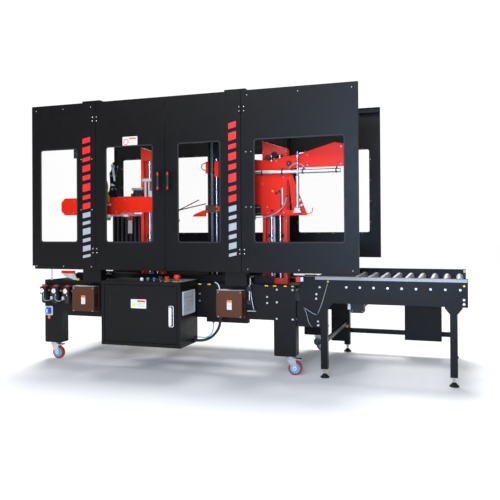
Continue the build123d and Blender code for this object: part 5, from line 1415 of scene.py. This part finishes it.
def folding_head_details():
    """Cylinders, clamps, knob, hose, cable, strips and screws on the front of the folding head."""
    rider = "folding_head"
    tube_z, tube_y = 1454, 180
    Piece("fold_cylinder_tube", ALUMINIUM, body=rider).bar((1784, tube_y, tube_z), (2440, tube_y, tube_z),
            15, 32)
    clamps = Piece("fold_cylinder_clamps", BLACK_PLASTIC, 0.8, rider)
    for x in (1864, 2017, 2170, 2410):
        clamps.ring((x - 5, tube_y, tube_z), RIGHT, 15.1, 18, 10, 32)
        clamps.box(x - 5, x + 5, tube_y + 12, ARM_FACE + 0.4 if x > 1944 else FOLD_FACE + 0.2, tube_z - 10,
                tube_z + 32 if x > 1944 else tube_z + 10)
    tube_cord("fold_cylinder_hose", [(2068, tube_y, 1466), (2071, tube_y - 3, 1484),
            (2090, tube_y - 5, 1504), (2126, tube_y - 6, 1513), (2162, tube_y - 5, 1504),
            (2181, tube_y - 3, 1484), (2184, tube_y, 1470)], 3.6, SMOKE_TUBE, rider)
    ports = Piece("fold_cylinder_ports", BRASS, 0.4, rider)
    for x in (2068, 2184):
        ports.turned((x, tube_y, tube_z + 10), UP, [(6, 0), (7.5, 4), (7.5, 8), (5, 12)], 6)
    Piece("fold_clamp_knob", BLACK_PLASTIC, 0.8, rider).turned((2062, ARM_FACE, 1516), FRONT,
            [(8.5, 0), (20, 0), (20, 5), (17, 9), (8.5, 9)], 36, True)
    Piece("fold_clamp_cap", RED_PLASTIC, 0.8, rider).turned((2062, ARM_FACE + 0.2, 1516), FRONT,
            [(8.4, 0), (8.4, 6), (6, 8.5)], 28)
    lift_x, lift_y = 2136, 152
    body = Piece("kicker_cylinder", ALUMINIUM, 0.8, rider)
    body.bar((lift_x, lift_y, 1204), (lift_x, lift_y, 1412), 13, 32)
    body.turned((lift_x, lift_y, 1404), UP, [(15, 0), (15, 14), (9, 18), (6, 18)], 32)
    body.turned((lift_x, lift_y, 1212), (0, 0, -1), [(15, 0), (15, 14), (9, 20)], 32)
    rod = Piece("kicker_cylinder_rod", SHAFT, 0.3, rider)
    rod.bar((lift_x, lift_y, 1410), (lift_x, lift_y, 1598), 4.5, 20)
    rod.turned((lift_x, lift_y, 1574), UP, [(4.6, 0), (8.5, 0), (8.5, 8), (4.6, 8)], 6)
    fork = Piece("kicker_cylinder_fork", ZINC, 0.8, rider)
    fork.box(lift_x - 20, lift_x + 20, lift_y - 12, FOLD_FACE + 0.2, 1168, 1194)
    fork.plate("Y", [(lift_x - 34, 1158), (lift_x + 30, 1158), (lift_x + 14, 1190), (lift_x - 14, 1190)],
            lift_y - 8, lift_y + 2)
    fork.box(lift_x - 9, lift_x + 9, lift_y + 10, ARM_FACE + 0.2, 1552, 1566)
    fork.ring((lift_x, lift_y, 1552), UP, 4.7, 12, 14, 24)
    Piece("kicker_hook", RED, 0, rider).wire([(2184, 208, 1156), (2210, 206, 1150), (2228, 206, 1166),
            (2234, 206, 1194)], 3.2)
    holes = Piece("bracket_hole_rims", CHROME, 0, rider)
    for x, z in ((2126, 1292), (2138, 1252), (2150, 1214)):
        holes.ring((x, FOLD_FACE + 0.1, z), FRONT, 8.4, 10.6, 1, 28)
    dark = Piece("fold_plate_parts", BLACK_PLASTIC, 0.8, rider)
    dark.box(1783, 1850, 186, FOLD_FACE + 0.2, 1143, 1216)
    dark.box(1996, 2004, 201, FOLD_FACE + 0.2, 1160, 1312)
    dark.box(1782, 1806, 184, FOLD_FACE + 4, 1112, 1141.2)
    dark.plate("Y", [(1858, 1548), (1942, 1564), (1942, 1576), (1858, 1560)], 214, 234)
    for x, z in ((1967, 1304), (1989, 1316), (1932, 1178)):
        dark.turned((x, FOLD_FACE, z), FRONT, [(10, 0), (10, 4), (6, 6)], 24)
    light = Piece("fold_plate_strips", ALUMINIUM, 0.5, rider)
    light.box(1787, 1846, 184.6, 186.2, 1200, 1206)
    light.box(1787, 1846, 184.6, 186.2, 1154, 1160)
    Piece("fold_white_strap", WHITE_PLASTIC, 0.5, rider).box(2006, 2015, 198, FOLD_FACE + 0.2, 1218, 1340)
    Piece("fold_yellow_plug", YELLOW_PLASTIC, 0.5, rider).turned((1936, FOLD_FACE, 1320), FRONT,
            [(7.5, -0.1), (7.5, 3), (5, 4)], 24)
    Piece("fold_cover_plate", RED, 0.8, rider).box(1781, 1868, FOLD_FACE - 4, FOLD_FACE + 0.1, 1366, 1436)
    screws = Piece("fold_plate_screws", STEEL, 0, rider)
    for x, z in ((1858, 1374), (1895, 1204), (1900, 1162), (2018, 1162), (2018, 1420)):
        screws.cap_screw((x, FOLD_FACE - (4 if x < 1868 else 0), z), FRONT, 4.4)
    for x, z in ((1968, 1536), (2200, 1500), (2200, 1570), (2440, 1500), (2440, 1622)):
        screws.cap_screw((x, ARM_FACE, z), FRONT, 4.4)
    tube_cord("fold_cable", [(2044, 196, 1276), (2042, 193, 1252), (2028, 190, 1218), (2000, 187, 1182),
            (1956, 182, 1152), (1900, 178, 1130), (1846, 179, 1130), (1800, 181, 1128)], 3.4, SMOKE_TUBE,
            rider)
    Piece("fold_cable_gland", BLACK_PLASTIC, body=rider).turned((2044, FOLD_FACE + 0.2, 1280), FRONT,
            [(8, 0), (8, 10), (5, 14)], 20)


def taping_head_details():
    """Tape guide tower with its lever and rollers, and the valve, cylinder and reducer over the beam."""
    rider = "taping_head"
    top = beam.z1
    brackets = Piece("tape_guide_tower", BLACK, 1, rider)
    brackets.plate("Y", [(554, top - 40), (630, top - 40), (630, top + 34), (602, 1390), (608, 1470),
            (632, 1520), (620, 1592), (590, 1584), (576, 1520), (560, 1500), (566, 1400), (554, 1350)], 234,
            241)
    brackets.box(560, 626, BEAM_FACE + 33, 241, top - 40, top - 2)
    lever = Piece("tape_guide_lever", WHITE_PLASTIC, 0.8, rider)
    lever.plate("Y", [(576, 1568), (600, 1572), (616, 1436), (604, 1432)], 228, 234.2)
    lever.turned((590, 234, 1404), FRONT, [(5, 0), (9, 1), (9, 14), (6, 18)], 20)
    lever.bar((576, 229, 1412), (612, 229, 1396), 4, 12)
    lever.box(556, 598, BEAM_FACE - 7, BEAM_FACE + 0.2, 1236, 1252)
    arms = Piece("tape_guide_rollers", STEEL, 0.4, rider)
    for x, z in ((602, 1552), (582, 1480), (588, 1372)):
        arms.turned((x, 241, z), REAR, [(4, -14), (10, -12), (10, 40), (4, 42)], 24)
    Piece("tape_guide_cap", YELLOW_PLASTIC, 1, rider).plate("Y", rounded(562, 584, 1262, 1322, 8),
            BEAM_FACE - 12, BEAM_FACE + 0.2)
    valve = Piece("beam_valve_block", BLACK_PLASTIC, 1, rider)
    valve.box(772, 870, BEAM_FACE + 4, BEAM_FACE + 33, top, top + 26)
    valve.box(792, 856, BEAM_FACE + 6, BEAM_FACE + 30, top + 25, top + 50)
    Piece("beam_cylinder", ALUMINIUM, body=rider).bar((776, BEAM_FACE + 18, top + 62),
            (872, BEAM_FACE + 18, top + 62), 11, 28)
    pipe_y, axle_z = BEAM_FACE + 8, 1430
    motor = Piece("beam_reducer", PALE_PLASTIC, 1.4, rider)
    motor.bar((880, pipe_y, axle_z), (950, pipe_y, axle_z), 14, 28)
    motor.bar((900, pipe_y, top - 4), (900, pipe_y, 1418), 9, 24)
    motor.bar((930, pipe_y, top - 4), (930, pipe_y, 1418), 6, 24)
    motor.bar((948, pipe_y, top - 4), (948, pipe_y, 1346), 11, 24)
    ends = Piece("beam_reducer_caps", BRASS, body=rider)
    ends.bar((872, pipe_y, axle_z), (882, pipe_y, axle_z), 16, 28)
    ends.bar((948, pipe_y, axle_z), (962, pipe_y, axle_z), 16, 28)
    under = Piece("beam_under_blocks", WHITE_PLASTIC, 0.8, rider)
    under.box(806, 868, BEAM_FACE + 2, BEAM_FACE + 28, 1166, 1178.2)
    under.box(706, 744, BEAM_FACE + 2, BEAM_FACE + 28, 1146, 1164.2)
    screws = Piece("beam_screws", STEEL, 0, rider)
    for x in (150, 250, 640, 720, 1000):
        for z in (1186, 1280):
            screws.cap_screw((x, BEAM_FACE, z), FRONT, 4.6)
    tube_cord("beam_hose", [(870, BEAM_FACE + 18, 1316), (886, BEAM_FACE + 17, 1317),
            (893, BEAM_FACE + 3, 1328), (880, BEAM_FACE - 12, 1342), (850, BEAM_FACE - 18, 1348),
            (816, BEAM_FACE - 16, 1342), (797, BEAM_FACE - 12, 1324), (796, BEAM_FACE + 4, 1317)], 2.8,
            CONDUIT, rider)


def outfeed_fence():
    """Dark upright rollers beside the carton at the outfeed, with a plain white plate."""
    y = 934
    posts = Piece("outfeed_fence_rollers", BLACK_PLASTIC, 0)
    for i in range(7):
        x = 186 + i * 44
        posts.turned((x, y, 652), UP, [(5, 0), (15, 4), (15, 530), (5, 534)], 24)
    frame_bars = Piece("outfeed_fence_frame", BLACK, 1.5)
    frame_bars.box(166, 470, y - 24, y + 24, 640.2, 653)
    frame_bars.box(166, 470, y - 20, y + 20, 1185, 1200)
    frame_bars.box(166, 178, y + 16, y + 24, 652, 1186)
    frame_bars.box(458, 470, y + 16, y + 24, 652, 1186)
    frame_bars.box(172, 464, y + 22, y + 24.5, 652, 1186)
    Piece("outfeed_plate", WHITE_PLASTIC, 0.8).box(340, 384, y - 21, y - 17, 1008, 1126)
    Piece("outfeed_tag", RED_PLASTIC, 0.8).box(334, 392, y - 22, y - 14.8, 1128, 1160)


# ------------------------------------------------------------------ tape units, belts and reel

def reel_details():
    """Cardboard core and hub flanges on both sides of the reel."""
    rider = "reel"
    core = Piece("reel_core", moulded("reel_cardboard", "tape", (0.42, 0.27, 0.15), 0.8, 0.4), 0.4, rider)
    hub = Piece("reel_hub", BLACK_PLASTIC, body=rider)
    for y, out in ((reel.y0, FRONT), (reel.y1, REAR)):
        core.ring((reel.x, y, reel.z), out, 38.6, 44, 1.2, 48)
        hub.turned((reel.x, y, reel.z), out, [(12, 0), (37.6, 0), (37.6, 2), (30, 3), (12, 3)], 40, True)


def belt_faces():
    """Grip belts, cover lids with screws, and motor fins of the two side belt units."""
    for label, body, out in (("front", "front_belt", 1), ("rear", "rear_belt", -1)):
        inner = rear_panels.y1 / 2 - out * 175
        belt = Piece("grip_belt_" + label, BELT, body=body)
        low, high = 720, 812
        belt.box(648, 1672, *sorted((inner + out * 2.4, inner - out * 0.1)), low, high)
        cap = Piece("belt_covers_" + label, GREY_PAINT, 1, body)
        middle = inner - out * 27.5
        cap.box(700, 1560, middle - 18, middle + 18, 816, 819)
        screws = Piece("belt_cover_screws_" + label, STEEL, 0, body)
        for i in range(6):
            screws.dome_screw((720 + i * 164, middle, 819), UP, 4.5)
        motor = Piece("belt_motor_fins_" + label, BLACK, 0, body)
        for i in range(7):
            motor.ring((1645, middle, 826 + i * 10), UP, 25, 32, 3, 36)


def tape_unit_details():
    """Side plate screws of the two taping units."""
    for label, body, mid_z in (("upper", "taping_head", 1300), ("lower", "machine", 560)):
        screws = Piece("tape_unit_screws_" + label, STEEL, 0, body)
        centre = rear_panels.y1 / 2
        for side in (-1, 1):
            face = centre + side * 42
            for i in range(5):
                x = 300 + i * 90
                screws.cap_screw((x, face, mid_z - 70), (0, side, 0), 4.4)


def rear_details():
    """Cable duct with its clips along the rear girder, and bolts on the rear legs."""
    duct = Piece("rear_cable_duct", BLACK_PLASTIC, 1)
    y0 = rear_panels.y1 - 130
    duct.box(300, 1900, y0 - 0.2, y0 + 32, 560, 600)
    clips = Piece("rear_duct_clips", STEEL, 0)
    for i in range(8):
        clips.dome_screw((340 + i * 215, y0 + 32, 580), REAR, 4.5)
    bolts = Piece("rear_leg_bolts", STEEL, 0)
    for x in (44, 158, 1985, 2099):
        for z in (402, 500, 610):
            bolts.hex_bolt((x, y0, z), REAR, 7)


# ------------------------------------------------------------------ assembly

paint_cad_nodes()
camera()
corrugated_conduit()
tube_cord("air_hose_tube", HOSE_ROUTE, HOSE_R, AIR_TUBE, replaced="air_hose")
for make_detail in (guard_windows, hinge_screws, door_trim, handle_caps, stripes, post_caps, panel_fixings,
                    guard_switch, door_sticker, drive_cover_trim, isolator_switch, air_gauges, bed_front_trim,
                    bed_inside, cabinet_outside, cabinet_controls, vent_filter, cabinet_inside,
                    conveyor_trim, roller_details, conveyor_drive, foot_pads, dock_cables, mast_finish,
                    mast_details, guide_column, folding_head_details, taping_head_details, outfeed_fence,
                    reel_details, belt_faces, tape_unit_details, rear_details):
    make_detail()
    make_waiting()
for place in ("front_left", "front_right", "rear_left", "rear_right"):
    castor_details(place)
make_waiting()
studio()
